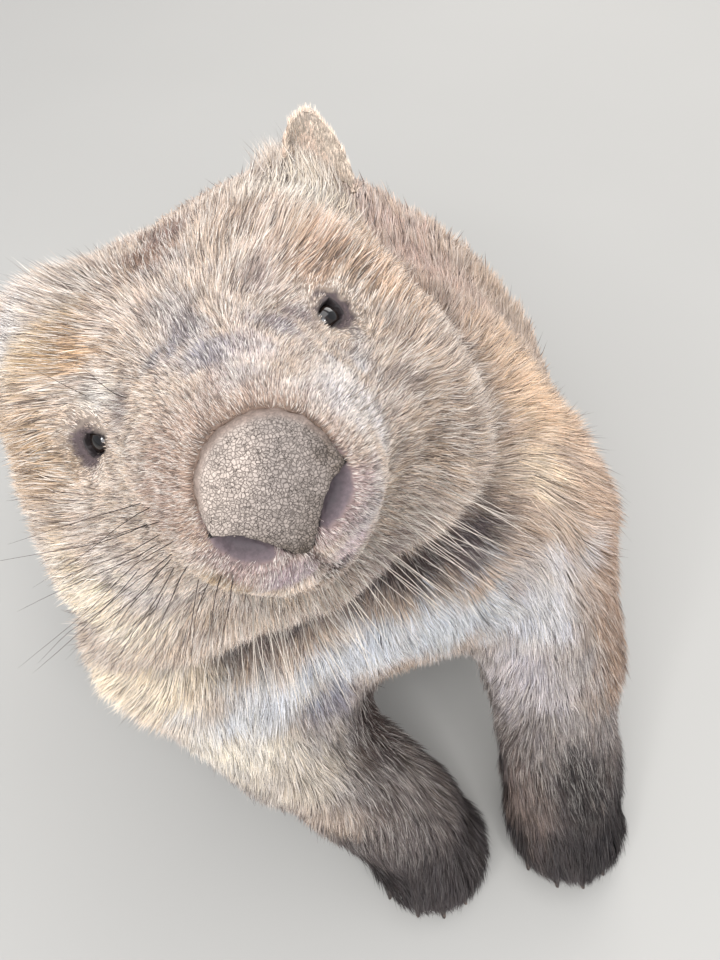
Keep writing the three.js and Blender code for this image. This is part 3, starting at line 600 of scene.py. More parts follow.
def soften(points, edges, weight, rounds):
    # every point goes towards the middle of its neighbours by its own weight
    size = len(points)
    near = np.maximum(np.bincount(edges.ravel(), minlength=size), 1)
    for _ in range(rounds):
        drawn = np.empty_like(points)
        for axis in range(3):
            one = np.bincount(edges[:, 0], points[edges[:, 1], axis], size)
            two = np.bincount(edges[:, 1], points[edges[:, 0], axis], size)
            drawn[:, axis] = (one + two) / near
        points = points + (drawn - points) * weight[:, None]
    return points


def softened(mesh, weight, rounds):
    points = pointsOf(mesh)
    points = soften(points, edgesOf(mesh), weight + np.zeros(len(points)), rounds)
    setPoints(mesh, points)
    return points


def refineFace(mesh):
    # the muzzle and the lids get smaller and smaller faces
    for muzzleReach, eyeReach in ((44, 20), (36, 14), (28, 10)):
        bm = bmesh.new()
        bm.from_mesh(mesh)
        q = toHead(np.array([v.co for v in bm.verts]))
        fine = lengths((q - [0, -72, -34]) * [1, 0.7, 1]) < muzzleReach
        for middle in eyeMiddles.values():
            fine |= lengths(q - middle) < eyeReach
        edges = [e for e in bm.edges if fine[e.verts[0].index] and fine[e.verts[1].index]]
        bmesh.ops.subdivide_edges(bm, edges=edges, cuts=1, use_grid_fill=True)
        bm.to_mesh(mesh)
        bm.free()


def smoothMax(first, second, width):
    near = np.maximum(width - np.abs(first - second), 0) / width
    return np.maximum(first, second) + near * near * width / 4


# Depths and heights on the face, in millimetres.
faceSizes = {
    "lidSpread": 3.5,
    "lidRim": 0.4,
    "lidFold": 0.35,
    "cupInset": 1.1,
    "padBed": 5.0,
    "nostrilDish": 4.2,
    "lipSwell": 0.8,
    "mouthGroove": 2.6,
    "mouthTuck": 0.8,
    "cleft": 1.5,
    "mouthPit": 2.0,
}


def shapeLids(q, side):
    # the lids are drawn over the eyeball, with a rim and a fold, and sink under it inside the opening
    out, outwards, upwards = eyeAxes[side]
    v = q - eyeCentres[side]
    high = v @ out
    wide = v @ outwards
    tall = v @ upwards
    far = np.hypot(wide, tall)
    here = (far < 16) & (high > -9) & (lengths(v) < 18)
    ball = eyeSizes["radius"] + eyeSizes["lid"]
    dome = np.where(far < ball, np.sqrt(np.maximum(ball**2 - far**2, 0)), (ball - far) * 2.5)
    lifted = smoothMax(high, dome, faceSizes["lidSpread"])
    opening = ringReach(np.stack([wide, tall], 1), np.array(eyeOpenings[side]))
    lifted += faceSizes["lidRim"] * bell(opening - 0.9, 0.7)
    lifted -= faceSizes["lidFold"] * bell(opening - 3.6, 1.0) * (tall > -1)
    cup = np.sqrt(np.maximum((eyeSizes["radius"] - faceSizes["cupInset"]) ** 2 - far**2, 0))
    lifted = blend(cup, lifted, ramp(opening, -0.2, 0.4))
    return np.where(here[:, None], q + out * (lifted - high)[:, None], q)


def mouthLine(q):
    return bell(rowReach(q, mouthRow), 1.5) * (q[:, 1] < -28)


def shapeFace(q):
    # lids hug the eyeballs, the pad has its bed, and the nostrils, lips and mouth are cut in
    for side in (1, -1):
        q = shapeLids(q, side)
    spots = q[:, [0, 2]]
    facing = (q[:, 1] < -44) & (q[:, 2] > -60)
    reach = np.where(facing, ringReach(spots, padRing), 99.0)
    nostril = np.minimum(*[ringReach(spots, ring) for ring in nostrilRings])
    sink = faceSizes["padBed"] * ramp(-reach, -0.2, 1.6) * facing
    dish = faceSizes["nostrilDish"] * ramp(-nostril, -1.2, 5.5) * (reach > -0.3) * facing
    q[:, 1] += np.maximum(sink, dish)
    rim = bell(nostril - 1.6, 1.8) * (reach > 1)
    q[:, 1] -= faceSizes["lipSwell"] * rim * ramp(-q[:, 2], 26, 31) * facing
    groove = mouthLine(q)
    q[:, 1] += faceSizes["mouthGroove"] * groove
    q[:, 2] += faceSizes["mouthTuck"] * groove
    pit = bell(lengths(q - facePlaces["mouth"]), 2.6)
    q[:, 1] += faceSizes["cleft"] * cleftOf(q) + faceSizes["mouthPit"] * pit
    return q


skin = mergedCopy(fleshNodes + ["nose_pad", "eye_left", "eye_right"], "skin", skinSizes["overlap"])
remesh(skin, skinSizes["voxel"])
points = pointsOf(skin.data)
part = regionsOf(points)
weight = blend(1.0, 0.4, np.maximum(part["foreLeg"], part["hindLeg"]))
weight = blend(weight, 0.14, np.maximum(part["forePaw"], part["hindPaw"]))
muzzle = blend(0.10, 0.2, ramp(part["nose"], 40, 90))
weight = blend(weight, blend(muzzle, 0.7, ramp(part["nose"], 95, 135)), part["head"])
points = soften(points, edgesOf(skin.data), weight, skinSizes["softenRounds"])
# the seam between cheek and neck needs more
seam = ramp(part["nose"], 96, 116) * fade(part["nose"], 185, 225) * ramp(part["q"][:, 2], -96, -72)
setPoints(skin.data, soften(points, edgesOf(skin.data), 0.8 * seam, skinSizes["seamRounds"]))
refineFace(skin.data)
part = regionsOf(pointsOf(skin.data))
points = softened(skin.data, 0.5 * (part["nose"] < 60) + 0.5 * (part["eye"] < 24), skinSizes["faceRounds"])
points = points - normalsOf(skin.data) * (coatDepth(regionsOf(points)) / 1000)[:, None]
points = fromHead(shapeFace(toHead(points)))
part = regionsOf(points)
points = soften(points, edgesOf(skin.data), 0.3 * (part["nose"] < 50) + 0.2 * (part["eye"] < 16), 1)
setPoints(skin.data, points)
print("skin", len(skin.data.vertices), "points", len(skin.data.polygons), "faces")


def setColours(mesh, colours, name="coat"):
    layer = mesh.color_attributes.new(name, "FLOAT_COLOR", "POINT")
    rows = np.ones((len(mesh.vertices), 4), np.float32)
    rows[:, : colours.shape[1]] = colours
    layer.data.foreach_set("color", rows.ravel())


def unwrap(piece, angle):
    bpy.ops.object.select_all(action="DESELECT")
    bpy.context.view_layer.objects.active = piece
    piece.select_set(True)
    piece.data.uv_layers.new(name="OFBake")
    bpy.ops.object.mode_set(mode="EDIT")
    bpy.ops.mesh.select_all(action="SELECT")
    bpy.ops.uv.smart_project(angle_limit=math.radians(angle), island_margin=0.003)
    bpy.ops.object.mode_set(mode="OBJECT")
    piece.select_set(False)


bareTones = {
    "lid": tone(88, 76, 77),
    "lidEdge": tone(36, 30, 31),
    # painted shade on the skin in the furrow from the pad to the mouth
    "foldShade": tone(92, 72, 66),
    "muzzle": tone(134, 115, 112),
    "lip": tone(101, 88, 92),
    "lipInner": tone(76, 67, 71),
    # near-black painted shadow under the pad's lower edges; doubled, the painted shade in the mouth line and
    # pit
    "slit": tone(12, 10, 10),
    # painted shade: the skin in the ring round the pad is the fur ring's tone, halved
    "padRing": coatBase["noseRing"] * 0.5,
}


def skinColour(points, part):
    # the undercoat is painted darker as shade under the fur, less so where the fur is sparse behind the
    # shoulders
    q = part["q"]
    shade = blend(0.45, 0.66, ramp(points[:, 1], -0.08, 0.06) * (1 - part["head"]))
    colour = coatColour(points, part) * shade[:, None]
    # where the mouth line and the pit of the mouth get painted shade
    mouth = np.clip(mouthLine(q) + (part["mouth"] < 2.4), 0, 1)
    for bareTone, weight in (
        (bareTones["lid"], part["patch"]),
        (bareTones["lidEdge"], fade(part["lid"], 0.4, 1.9)),
        # painted shade in the ring of skin round the pad
        (bareTones["padRing"], fade(part["pad"], 1.0, 3.0)),
        (bareTones["muzzle"], fade(part["nostril"], 1.5, 6)),
        (bareTones["lip"], part["lip"]),
        (bareTones["lipInner"], fade(part["nostril"], -5.0, -0.5)),
        # painted shadow in the slit under the pad's lower edges
        (bareTones["slit"], fade(part["pad"], 0.8, 1.7) * ramp(-q[:, 2], 22, 25)),
        # painted shade in the furrow from the pad to the mouth
        (bareTones["foldShade"], 0.8 * part["cleft"]),
        # painted shade in the mouth line and pit
        (bareTones["slit"] * 2, mouth * 0.85),
    ):
        colour = tint(colour, bareTone, weight)
    return colour


setColours(skin.data, skinColour(points, part))
setColours(skin.data, np.tile(part["bare"][:, None], 3), "bare")
skin.data.shade_smooth()
unwrap(skin, 60)
print("skin unwrapped")

# Ears: cupped leaves from the solids, thinned a little and rounded.
earSizes = {"voxel": 0.0011, "thin": 0.0016, "rounds": 6}
ears = mergedCopy(["ear_left", "ear_right"], "earSkin")
remesh(ears, earSizes["voxel"])
earPoints = softened(ears.data, 0.7, earSizes["rounds"])
earPoints = earPoints - normalsOf(ears.data) * earSizes["thin"]
setPoints(ears.data, earPoints)
ears.data.shade_smooth()
earTones = {"outer": tone(238, 219, 200), "inner": tone(222, 198, 180), "edge": tone(242, 226, 212)}
earAxes = {side: unit(np.array([0.44 * side, 0.2, 0.87])) for side in (1, -1)}
earFacings = {side: unit(np.array([0.42 * side, -0.9, 0])) for side in (1, -1)}


def earColour(points, normals):
    q = toHead(points)
    inner = np.zeros(len(q))
    height = np.zeros(len(q))
    for side in (1, -1):
        own = q[:, 0] * side > 0
        inner[own] = (normals[own] @ headAxes.T) @ earFacings[side]
        height[own] = (q[own] - earRoots[side]) @ earAxes[side]
    colour = tint(np.tile(earTones["outer"], (len(q), 1)), earTones["inner"], ramp(inner, 0.1, 0.7))
    return tint(colour, earTones["edge"], 0.6 * ramp(height, 20, 34))


# the ear skin is painted a fifth darker than its hair, as shade under the hair
setColours(ears.data, earColour(earPoints, normalsOf(ears.data)) * 0.8)
setColours(ears.data, np.zeros((len(earPoints), 3)), "bare")
unwrap(ears, 66)
print("ears", len(ears.data.polygons), "faces")

# Nose pad: the shield from the solids, its edges rounded and its face gently uneven.
padSizes = {"voxel": 0.0007, "rounds": 5, "uneven": 0.00016}
nosePad = mergedCopy(["nose_pad"], "nosePad")
remesh(nosePad, padSizes["voxel"])
padPoints = softened(nosePad.data, 0.6, padSizes["rounds"])
lumps = waves(toHead(padPoints), 6, "lumps") + 0.6 * waves(toHead(padPoints), 2.6, "grains")
padPoints = padPoints + normalsOf(nosePad.data) * (lumps * padSizes["uneven"])[:, None]
setPoints(nosePad.data, padPoints)
nosePad.data.shade_smooth()
padPlaces = toHead(padPoints)
x, z = padPlaces[:, 0], padPlaces[:, 2]
# painted light and shade on the pad: soil is darker towards the bottom and the head's left side, partly dirt
# and partly painted shade; pale is painted light towards the top and the head's right side; edge is painted
# shade along the upper border, under the fur
soil = ramp(-z + 3 * waves(padPlaces, 14, "soil"), 22, 42)
soil = np.maximum(soil, ramp(x - 0.4 * z + 2 * waves(padPlaces, 9, "smear"), 17, 31))
pale = ramp(-x + z * 0.8 + 3 * waves(padPlaces, 17, "pale"), -18, 12)
edge = fade(-ringReach(padPlaces[:, [0, 2]], padRing), 0.2, 2.4) * ramp(z, -22, -12)
setColours(nosePad.data, np.stack([soil, pale, edge], 1), "wear")
unwrap(nosePad, 66)
print("nose pad", len(nosePad.data.polygons), "faces")


def roundEye(name, side):
    # an eyeball with a low cornea, its pole where it looks
    out = eyeAxes[side][0]
    bm = bmesh.new()
    bmesh.ops.create_uvsphere(bm, u_segments=48, v_segments=32, radius=eyeSizes["radius"] / 1000)
    gaze = Vector((out @ headAxes).tolist())
    turn = Vector((0, 0, 1)).rotation_difference(gaze)
    layer = bm.verts.layers.float_color.new("iris")
    place = Vector(fromHead(eyeCentres[side]).tolist())
    for vert in bm.verts:
        lean = vert.co.angle(Vector((0, 0, 1)))
        bulge = 1 + 0.035 * math.exp(-((lean / 0.42) ** 2))
        vert[layer] = (lean, lean, lean, 1)
        vert.co = place + (turn @ vert.co) * bulge
    for face in bm.faces:
        face.smooth = True
    mesh = bpy.data.meshes.new(name)
    bm.to_mesh(mesh)
    bm.free()
    return addPiece(name, mesh)


eyeLeft = roundEye("eyeLeft", 1)
eyeRight = roundEye("eyeRight", -1)

clawSizes = {"voxel": 0.0006, "rounds": 5}
clawNodes = [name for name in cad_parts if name.startswith("claw_")]
claws = mergedCopy(clawNodes, "claws")
remesh(claws, clawSizes["voxel"])
softened(claws.data, 0.6, clawSizes["rounds"])
claws.data.shade_smooth()
print("claws", len(clawNodes), "nodes", len(claws.data.polygons), "faces")


# Coat: every strand is a thin tapered blade rooted in the skin.
def surfaceOf(piece):
    mesh = piece.data
    mesh.calc_loop_triangles()
    loops = rowsOf(mesh.loop_triangles, "loops", 3, np.int32)
    return {
        "points": pointsOf(mesh),
        "normals": normalsOf(mesh),
        "corners": rowsOf(mesh.loop_triangles, "vertices", 3, np.int32),
        "uv": rowsOf(mesh.uv_layers["OFBake"].data, "uv", 2, np.float32)[loops],
    }


def sowRoots(surface, density):
    # scatters roots over the triangles, thick where the density is high
    corners = surface["corners"]
    a, b, c = (surface["points"][corners[:, i]] for i in range(3))
    area = lengths(np.cross(b - a, c - a)) * 0.5e6
    want = area * density[corners].mean(1)
    total = int(want.sum())
    chosen = seeded.choice(len(corners), total, p=want / want.sum())
    r = np.sqrt(seeded.random(total))
    s = seeded.random(total)
    share = np.stack([1 - r, r * (1 - s), r * s], 1)[:, :, None]
    picked = corners[chosen]
    return {
        "points": (surface["points"][picked] * share).sum(1),
        "normals": unit((surface["normals"][picked] * share).sum(1)),
        "uv": (surface["uv"][chosen] * share).sum(1),
    }


def drawTogether(points, tips, size, pull):
    # neighbouring tips lean to each other, as hair that clings in locks
    moved = points + 0.35 * size * waves(points, size * 3, "locks")[:, None]
    cell = np.floor(moved / size).astype(np.int64)
    key = (cell[:, 0] * 73856093) ^ (cell[:, 1] * 19349663) ^ (cell[:, 2] * 83492791)
    _, group = np.unique(key, return_inverse=True)
    count = np.bincount(group)
    middle = np.stack([np.bincount(group, tips[:, i]) / count for i in range(3)], 1)
    return tips + (middle[group] - tips) * pull


bakePatch = 0.003  # the side of a strand's own patch on the bake map
strandSwells = (0.85, 0.9)  # the width of a strand at each step, as a share of its own width


def fillLayer(mesh, name, rows):
    # a UV map from one row for every corner
    mesh.uv_layers.new(name=name).data.foreach_set("uv", rows.astype(np.float32).ravel())


def bladesOf(name, roots, shape):
    # shape: a row of every measure and the colour of each strand, and one droop, lock size and pull for all
    n = len(roots["points"])
    steps = len(strandSwells)
    normal = roots["normals"]
    way = unit(shape["lie"] - normal * (shape["lie"] * normal).sum(1)[:, None])
    across = np.cross(normal, way)
    length = shape["length"][:, None] / 1000
    lift = shape["lift"][:, None]
    line = [roots["points"] - normal * np.minimum(0.0006, length * 0.07)]
    for i in range(steps):
        rise = lift * (1 - shape["droop"] * i / steps)
        sway = shape["sway"][:, None] * (0.4 + i / steps)
        step = way * np.cos(rise) + normal * np.sin(rise) + across * sway
        line.append(line[-1] + unit(step) * length / steps)
    shift = drawTogether(roots["points"], line[-1], shape["lock"], shape["pull"]) - line[-1]
    for i in range(1, steps + 1):
        line[i] = line[i] + shift * (i / steps) ** 1.5
    turn = shape["turn"][:, None]
    flat = unit(across * np.cos(turn) + normal * np.sin(turn))
    half = shape["width"][:, None] / 2000
    rows = []
    pattern = []
    for i, swell in enumerate(strandSwells):
        rows += [line[i] - flat * half * swell, line[i] + flat * half * swell]
        pattern += [(2 * i, 2 * i + 1, 2 * i + 3), (2 * i, 2 * i + 3, 2 * i + 2)]
    rows.append(line[-1])
    pattern[-2:] = [(2 * steps - 2, 2 * steps - 1, 2 * steps)]
    size = len(rows)
    points = np.stack(rows, 1).reshape(-1, 3)
    points[:, 2] = np.maximum(points[:, 2], 0.0004)  # none goes through the floor
    faces = (np.arange(n)[:, None, None] * size + np.array(pattern)).reshape(-1, 3)
    corners = faces.ravel()
    along = np.array([i // 2 / steps for i in range(2 * steps)] + [1.0])
    side = np.array([i % 2 for i in range(2 * steps)] + [0.5])
    mesh = bpy.data.meshes.new(name)
    mesh.vertices.add(len(points))
    mesh.vertices.foreach_set("co", points.astype(np.float32).ravel())
    mesh.loops.add(faces.size)
    mesh.loops.foreach_set("vertex_index", corners.astype(np.int32))
    mesh.polygons.add(len(faces))
    mesh.polygons.foreach_set("loop_start", np.arange(0, faces.size, 3, dtype=np.int32))
    mesh.polygons.foreach_set("use_smooth", np.ones(len(faces), bool))
    mesh.update(calc_edges=True)
    patch = np.stack([side - 0.5, along - 0.5], 1) * bakePatch
    fillLayer(mesh, "OFBake", (roots["uv"][:, None, :] + patch[None]).reshape(-1, 2)[corners])
    fillLayer(mesh, "strand", np.stack([np.repeat(shape["luck"], size), np.tile(along, n)], 1)[corners])
    setColours(mesh, np.repeat(shape["colour"], size, axis=0))
    return addPiece(name, mesh)


# Strands to a square millimetre, widths in millimetres, lifts and turns in radians, the share of long
# guard hairs, and how far and how often a strand is darker or paler than its place.
furSizes = {
    "noseDensity": 8.0,
    "faceDensity": 4.4,
    "headDensity": 2.4,
    "frontDensity": 1.35,
    "bodyDensity": 0.22,
    "legDensity": 1.1,
    "pawDensity": 1.4,
    "noseWidth": 0.17,
    "faceWidth": 0.25,
    "headWidth": 0.32,
    "frontWidth": 0.38,
    "bodyWidth": 0.9,
    "bodyLift": 0.4,
    "headLift": 0.34,
    "crownLift": 0.3,
    "tuftLift": 0.4,
    "jawLift": 0.12,
    "crestLift": 0.45,
    "dipLift": -0.3,
    "guards": 0.06,
    "guardTint": 0.85,
    "darkFrom": 0.85,
    "darkTint": 0.74,
    "paleUpTo": 0.27,
    "paleTint": 0.64,
    "sway": 0.16,
    "stray": 0.11,
    "turn": 0.65,
    "droop": 0.75,
}


def frontOf(points):
    # the fine coat reaches further back over the neck and withers
    return fade(points[:, 1] - 0.1 * ramp(points[:, 2], 0.16, 0.24), -0.12, -0.03)


def facingOf(points, normals):
    # 1 where the camera sees the surface, 0 where it turns away
    return ramp((normals * unit(viewer - points)).sum(1), -0.3, 0.15)


def coatDensity(points, normals, part):
    front = frontOf(points)
    body = blend(furSizes["bodyDensity"], furSizes["frontDensity"], front)
    body = blend(body, furSizes["legDensity"], part["foreLeg"])
    body = blend(body, furSizes["pawDensity"], np.maximum(part["forePaw"], part["hindPaw"]))
    head = blend(furSizes["noseDensity"], furSizes["faceDensity"], ramp(part["nose"], 26, 42))
    head = blend(head, furSizes["headDensity"], ramp(part["nose"], 66, 100))
    under = 1 - 0.6 * fade(points[:, 2], 0.004, 0.02)
    seen = blend(1.0, 0.5 + 0.5 * facingOf(points, normals), front)
    return blend(body, head, part["head"]) * (1 - part["bare"]) * under * seen


def streakPlaces(points, part, front):
    # places drawn out along the lie, so that light and dark hair falls in long streaks
    q = part["q"]
    turn = 75 * np.arctan2(q[:, 0], q[:, 2] + 22)
    head = np.stack([turn, 0.14 * part["nose"], 0 * turn], 1)
    onBody = 1000 * points * np.where(front[:, None] > 0.5, [1.0, 1.0, 0.14], [1.0, 0.14, 1.0])
    return np.where(part["head"][:, None] > 0.5, head, onBody)


def strandShapes(roots, part):
    n = len(roots["points"])
    points = roots["points"]
    front = frontOf(points)
    body = blend(furSizes["bodyWidth"], furSizes["frontWidth"], front)
    head = blend(furSizes["noseWidth"], furSizes["faceWidth"], ramp(part["nose"], 26, 50))
    head = blend(head, furSizes["headWidth"], ramp(part["nose"], 66, 110))
    hidden = front * (1 - facingOf(points, roots["normals"]))
    guard = (seeded.random(n) > 1 - furSizes["guards"]) & (part["nose"] > 44)
    width = blend(body, head, part["head"]) * seeded.uniform(0.7, 1.25, n) * np.where(guard, 0.8, 1.0)
    width = width * (1 + 0.45 * hidden)
    length = coatLength(part) * seeded.uniform(0.62, 1.15, n) * np.where(guard, 1.3, 1.0)
    lift = blend(furSizes["bodyLift"], furSizes["headLift"], part["head"])
    lift = lift + 0.08 * waves(points, 0.03, "lift") + seeded.normal(0, 0.1, n)
    for name in ("crown", "tuft", "jaw", "crest", "dip"):
        lift = lift + furSizes[name + "Lift"] * part[name]
    lift = lift * (0.45 + 0.55 * ramp(part["eye"], 11, 26))
    lie = coatLie(points, part)
    wild = blend(1.0, 0.6, part["head"])
    swirl = 0.2 * wild * waves(points, 0.045, "swirlOne") + 0.16 * wild * waves(points, 0.018, "swirlTwo")
    # the coat is marked where the hair shows, more than half its length from the root
    shown = points + lie * (0.55 * length / 1000)[:, None]
    colour = coatColour(shown, {**part, "q": toHead(shown)})
    mottle = 0.12 * waves(points, 0.014, "mottle") + 0.1 * waves(points, 0.005, "speckle")
    warmth = 0.5 * waves(points, 0.02, "warmPatch") + seeded.normal(0, 0.8, n)
    colour = colour * (1 + mottle)[:, None] * (1 + warmth[:, None] * [0.02, 0.0, -0.045])
    paws = np.maximum(part["forePaw"], part["hindPaw"])
    grey = seeded.random(n) + 0.2 * waves(streakPlaces(points, part, front), 2.2, "streak")
    streaky = blend(0.5, 1.0, part["head"])
    dark = furSizes["darkTint"] * (grey > furSizes["darkFrom"]) * streaky * (1 - 0.5 * paws)
    plain = np.maximum(0.85 * paws, part["patch"])
    pale = furSizes["paleTint"] * (grey < furSizes["paleUpTo"]) * streaky * (1 - plain)
    colour = tint(tint(colour, coatBase["dark"], dark), coatBase["pale"], pale)
    colour = tint(colour, coatBase["guard"], furSizes["guardTint"] * (guard & (grey > 0.3)))
    swirled = lie + swirl[:, None] * np.cross(roots["normals"], lie)
    return {
        "length": length,
        "width": width,
        "lift": np.clip(lift, 0.1, 1.2),
        "sway": seeded.normal(0, furSizes["sway"], n),
        "lie": swirled + seeded.normal(0, furSizes["stray"], (n, 3)),
        "turn": seeded.normal(0, furSizes["turn"], n),
        "luck": seeded.random(n),
        "colour": np.clip(colour, 0, 1),
    }


surface = surfaceOf(skin)
part = regionsOf(surface["points"])
roots = sowRoots(surface, coatDensity(surface["points"], surface["normals"], part))
part = regionsOf(roots["points"])
shapes = strandShapes(roots, part)
# where one zone of the coat ends and the next begins: millimetres on the head, metres on the body
zoneEnds = {"face": 78, "crown": 4, "legs": 0.047, "chest": -0.13, "shoulders": 0.0, "flanks": 0.13}
x, y = roots["points"].T[:2]
onHead = part["head"] > 0.5
near = part["nose"] < zoneEnds["face"]
upper = part["q"][:, 2] > zoneEnds["crown"]
legs = (part["foreLeg"] > 0.4) & ~onHead
trunk = ~onHead & ~legs
chest = trunk & (y < zoneEnds["chest"])
shoulders = trunk & (y >= zoneEnds["chest"]) & (y < zoneEnds["shoulders"])
flanks = ~onHead & (y >= zoneEnds["shoulders"]) & (y < zoneEnds["flanks"])
rump = ~onHead & (y >= zoneEnds["flanks"])
leftHead = part["q"][:, 0] > 0
leftLeg = x > zoneEnds["legs"]
leftBody = x > 0
# the strands of each zone: name, where it is, where its left half is, lock size and how far locks cling
zones = [
    ("faceCoat", onHead & near, leftHead, 0.0017, 0.28),
    ("crownCoat", onHead & ~near & upper, leftHead, 0.003, 0.32),
    ("cheekCoat", onHead & ~near & ~upper, leftHead, 0.003, 0.32),
    ("foreLegCoat", legs, leftLeg, 0.005, 0.4),
    ("chestCoat", chest, None, 0.005, 0.4),
    ("shoulderCoat", shoulders, leftBody, 0.005, 0.4),
    ("flankCoat", flanks, leftBody, 0.005, 0.4),
    ("rumpCoat", rump, leftBody, 0.005, 0.4),
]
coat = []
for zone, inZone, left, lock, pull in zones:
    halves = {zone: inZone}
    if left is not None:
        halves = {zone + "Left": inZone & left, zone + "Right": inZone & ~left}
    for name, mask in halves.items():
        own = {key: value[mask] for key, value in roots.items()}
        shape = {key: value[mask] for key, value in shapes.items()}
        shape.update(droop=furSizes["droop"], lock=lock, pull=pull)
        coat.append(bladesOf(name, own, shape))
        print(name, int(mask.sum()), "strands", len(coat[-1].data.polygons), "triangles")

earFur = {
    "density": 3.0,
    "outerLength": 6.0,
    "innerLength": 5.0,
    "lift": 0.25,
    "droop": 0.5,
    "sway": 0.15,
    "stray": 0.18,
    "lock": 0.003,
    "pull": 0.4,
}
earSurface = surfaceOf(ears)
earHair = sowRoots(earSurface, np.full(len(earSurface["points"]), earFur["density"]))
n = len(earHair["points"])
sides = np.where(toHead(earHair["points"])[:, 0] > 0, 1, -1)
axisRows = np.array([earAxes[s] for s in sides]) @ headAxes
inner = (earHair["normals"] * (np.array([earFacings[s] for s in sides]) @ headAxes)).sum(1)
earLength = blend(earFur["outerLength"], earFur["innerLength"], ramp(inner, 0, 0.6))
earShape = {
    "length": earLength * seeded.uniform(0.6, 1.2, n),
    "width": seeded.uniform(0.24, 0.42, n),
    "lift": np.clip(earFur["lift"] + seeded.normal(0, 0.12, n), 0.1, 1.0),
    "sway": seeded.normal(0, earFur["sway"], n),
    "lie": axisRows + seeded.normal(0, earFur["stray"], (n, 3)),
    "turn": seeded.normal(0, furSizes["turn"], n),
    "luck": seeded.random(n),
    "colour": earColour(earHair["points"], earHair["normals"]),
    **{key: earFur[key] for key in ("droop", "lock", "pull")},
}
earCoat = bladesOf("earCoat", earHair, earShape)
print("earCoat", n, "strands")

# Whiskers: long tapered hairs, three-sided and bent.
tree = BVHTree.FromPolygons(
    [Vector(p) for p in surface["points"].tolist()], [tuple(c) for c in surface["corners"].tolist()]
)
whiskerSizes = {
    "steps": 9,
    "cornerTurn": 2.094,
    "longThick": 0.32,
    "browThick": 0.24,
    "shortThick": 0.2,
    "chinCount": 64,
    "chinShortest": 20,
    "chinLongest": 40,
}


def curveThrough(knots, steps):
    # even steps along a smooth curve through four knots
    ends = [2 * knots[0] - knots[1], *knots, 2 * knots[-1] - knots[-2]]
    line = []
    for spot in np.linspace(0, 3, steps + 1):
        i = min(int(spot), 2)
        u = spot - i
        a, b, c, d = ends[i : i + 4]
        square = 2 * a - 5 * b + 4 * c - d
        cube = 3 * b - a - 3 * c + d
        line.append(0.5 * (2 * b + (c - a) * u + square * u**2 + cube * u**3))
    return np.array(line)


def growWhiskers(name, rows):
    # rows: four places in the head's frame from root to tip, thickness and colour
    points, faces, colours, along, spots = [], [], [], [], []
    steps = whiskerSizes["steps"]
    for knots, thick, colour in rows:
        line = fromHead(curveThrough(np.array(knots, float), steps))
        root, normal, index, _ = tree.find_nearest(Vector(line[0].tolist()))
        spot = surface["uv"][index].mean(0)
        line[0] = np.array(root) - np.array(normal) * 0.001
        way = unit(line[-1] - line[0])
        sideways = unit(np.cross(way, np.array([0.2, 0.5, 0.9])))
        above = np.cross(sideways, way)
        first = len(points)
        for i in range(steps + 1):
            t = i / steps
            half = thick / 2000 * (1 - t) ** 0.7 + 0.00002
            for k in range(3):
                a = whiskerSizes["cornerTurn"] * k
                points.append(line[i] + (sideways * math.cos(a) + above * math.sin(a)) * half)
                colours.append(colour)
                along.append(t)
                spots.append(spot + np.array([k / 3 - 0.5, t - 0.5]) * bakePatch)
        for start in range(first, first + steps * 3, 3):
            for k in range(3):
                a = start + k
                b = start + (k + 1) % 3
                faces.append((a, b, b + 3, a + 3))
    mesh = bpy.data.meshes.new(name)
    mesh.from_pydata([tuple(p) for p in points], [], faces)
    corners = rowsOf(mesh.loops, "vertex_index", 1, np.int32)[:, 0]
    fillLayer(mesh, "OFBake", np.array(spots)[corners])
    fillLayer(mesh, "strand", np.stack([np.full(len(points), 0.5), along], 1)[corners])
    setColours(mesh, np.array(colours))
    mesh.shade_smooth()
    return addPiece(name, mesh)


whiskerTones = {"dark": tone(72, 60, 57), "tan": tone(176, 154, 136), "pale": tone(236, 224, 210)}
cheekWhiskers = [
    ((-38, -50, -14), (-51, -43, -13), (-62, -35, -13), (-76, -26, -13)),
    ((-35, -58, -14), (-46, -45, -19), (-59, -32, -25), (-80, -17, -31)),
    ((-34, -61, -19), (-43, -49, -20), (-56, -34, -22), (-70, -20, -22)),
    ((-40, -50, -21), (-54, -36, -23), (-73, -22, -21), (-91, -14, -17)),
    ((-37, -56, -24), (-50, -42, -28), (-62, -28, -30), (-76, -16, -33)),
    ((-42, -47, -30), (-58, -32, -33), (-79, -14, -37), (-96, 4, -42)),
    ((-33, -65, -25), (-45, -59, -27), (-63, -53, -34), (-90, -44, -42)),
    ((-38, -52, -33), (-55, -46, -37), (-76, -38, -45), (-92, -30, -51)),
    ((-48, -36, -43), (-60, -26, -50), (-70, -18, -58), (-80, -10, -68)),
    ((-34, -63, -34), (-41, -60, -41), (-50, -56, -50), (-55, -51, -61)),
    ((-52, -24, -56), (-62, -18, -60), (-73, -12, -68), (-85, -6, -77)),
    ((-38, -36, -52), (-44, -37, -61), (-50, -36, -69), (-55, -34, -78)),
    ((-52, -31, -39), (-68, -20, -48), (-83, -12, -52), (-98, -4, -59)),
    ((-42, -41, -42), (-53, -33, -51), (-62, -26, -57), (-68, -22, -60)),
    ((-39, -49, -35), (-53, -45, -41), (-66, -39, -45), (-80, -33, -51)),
    ((-30, -68, -40), (-36, -66, -46), (-41, -63, -54), (-45, -60, -62)),
    ((-26, -75, -38), (-30, -72, -44), (-34, -68, -51), (-40, -64, -60)),
    ((-23, -76, -40), (-27, -73, -47), (-32, -69, -54), (-37, -64, -64)),
]
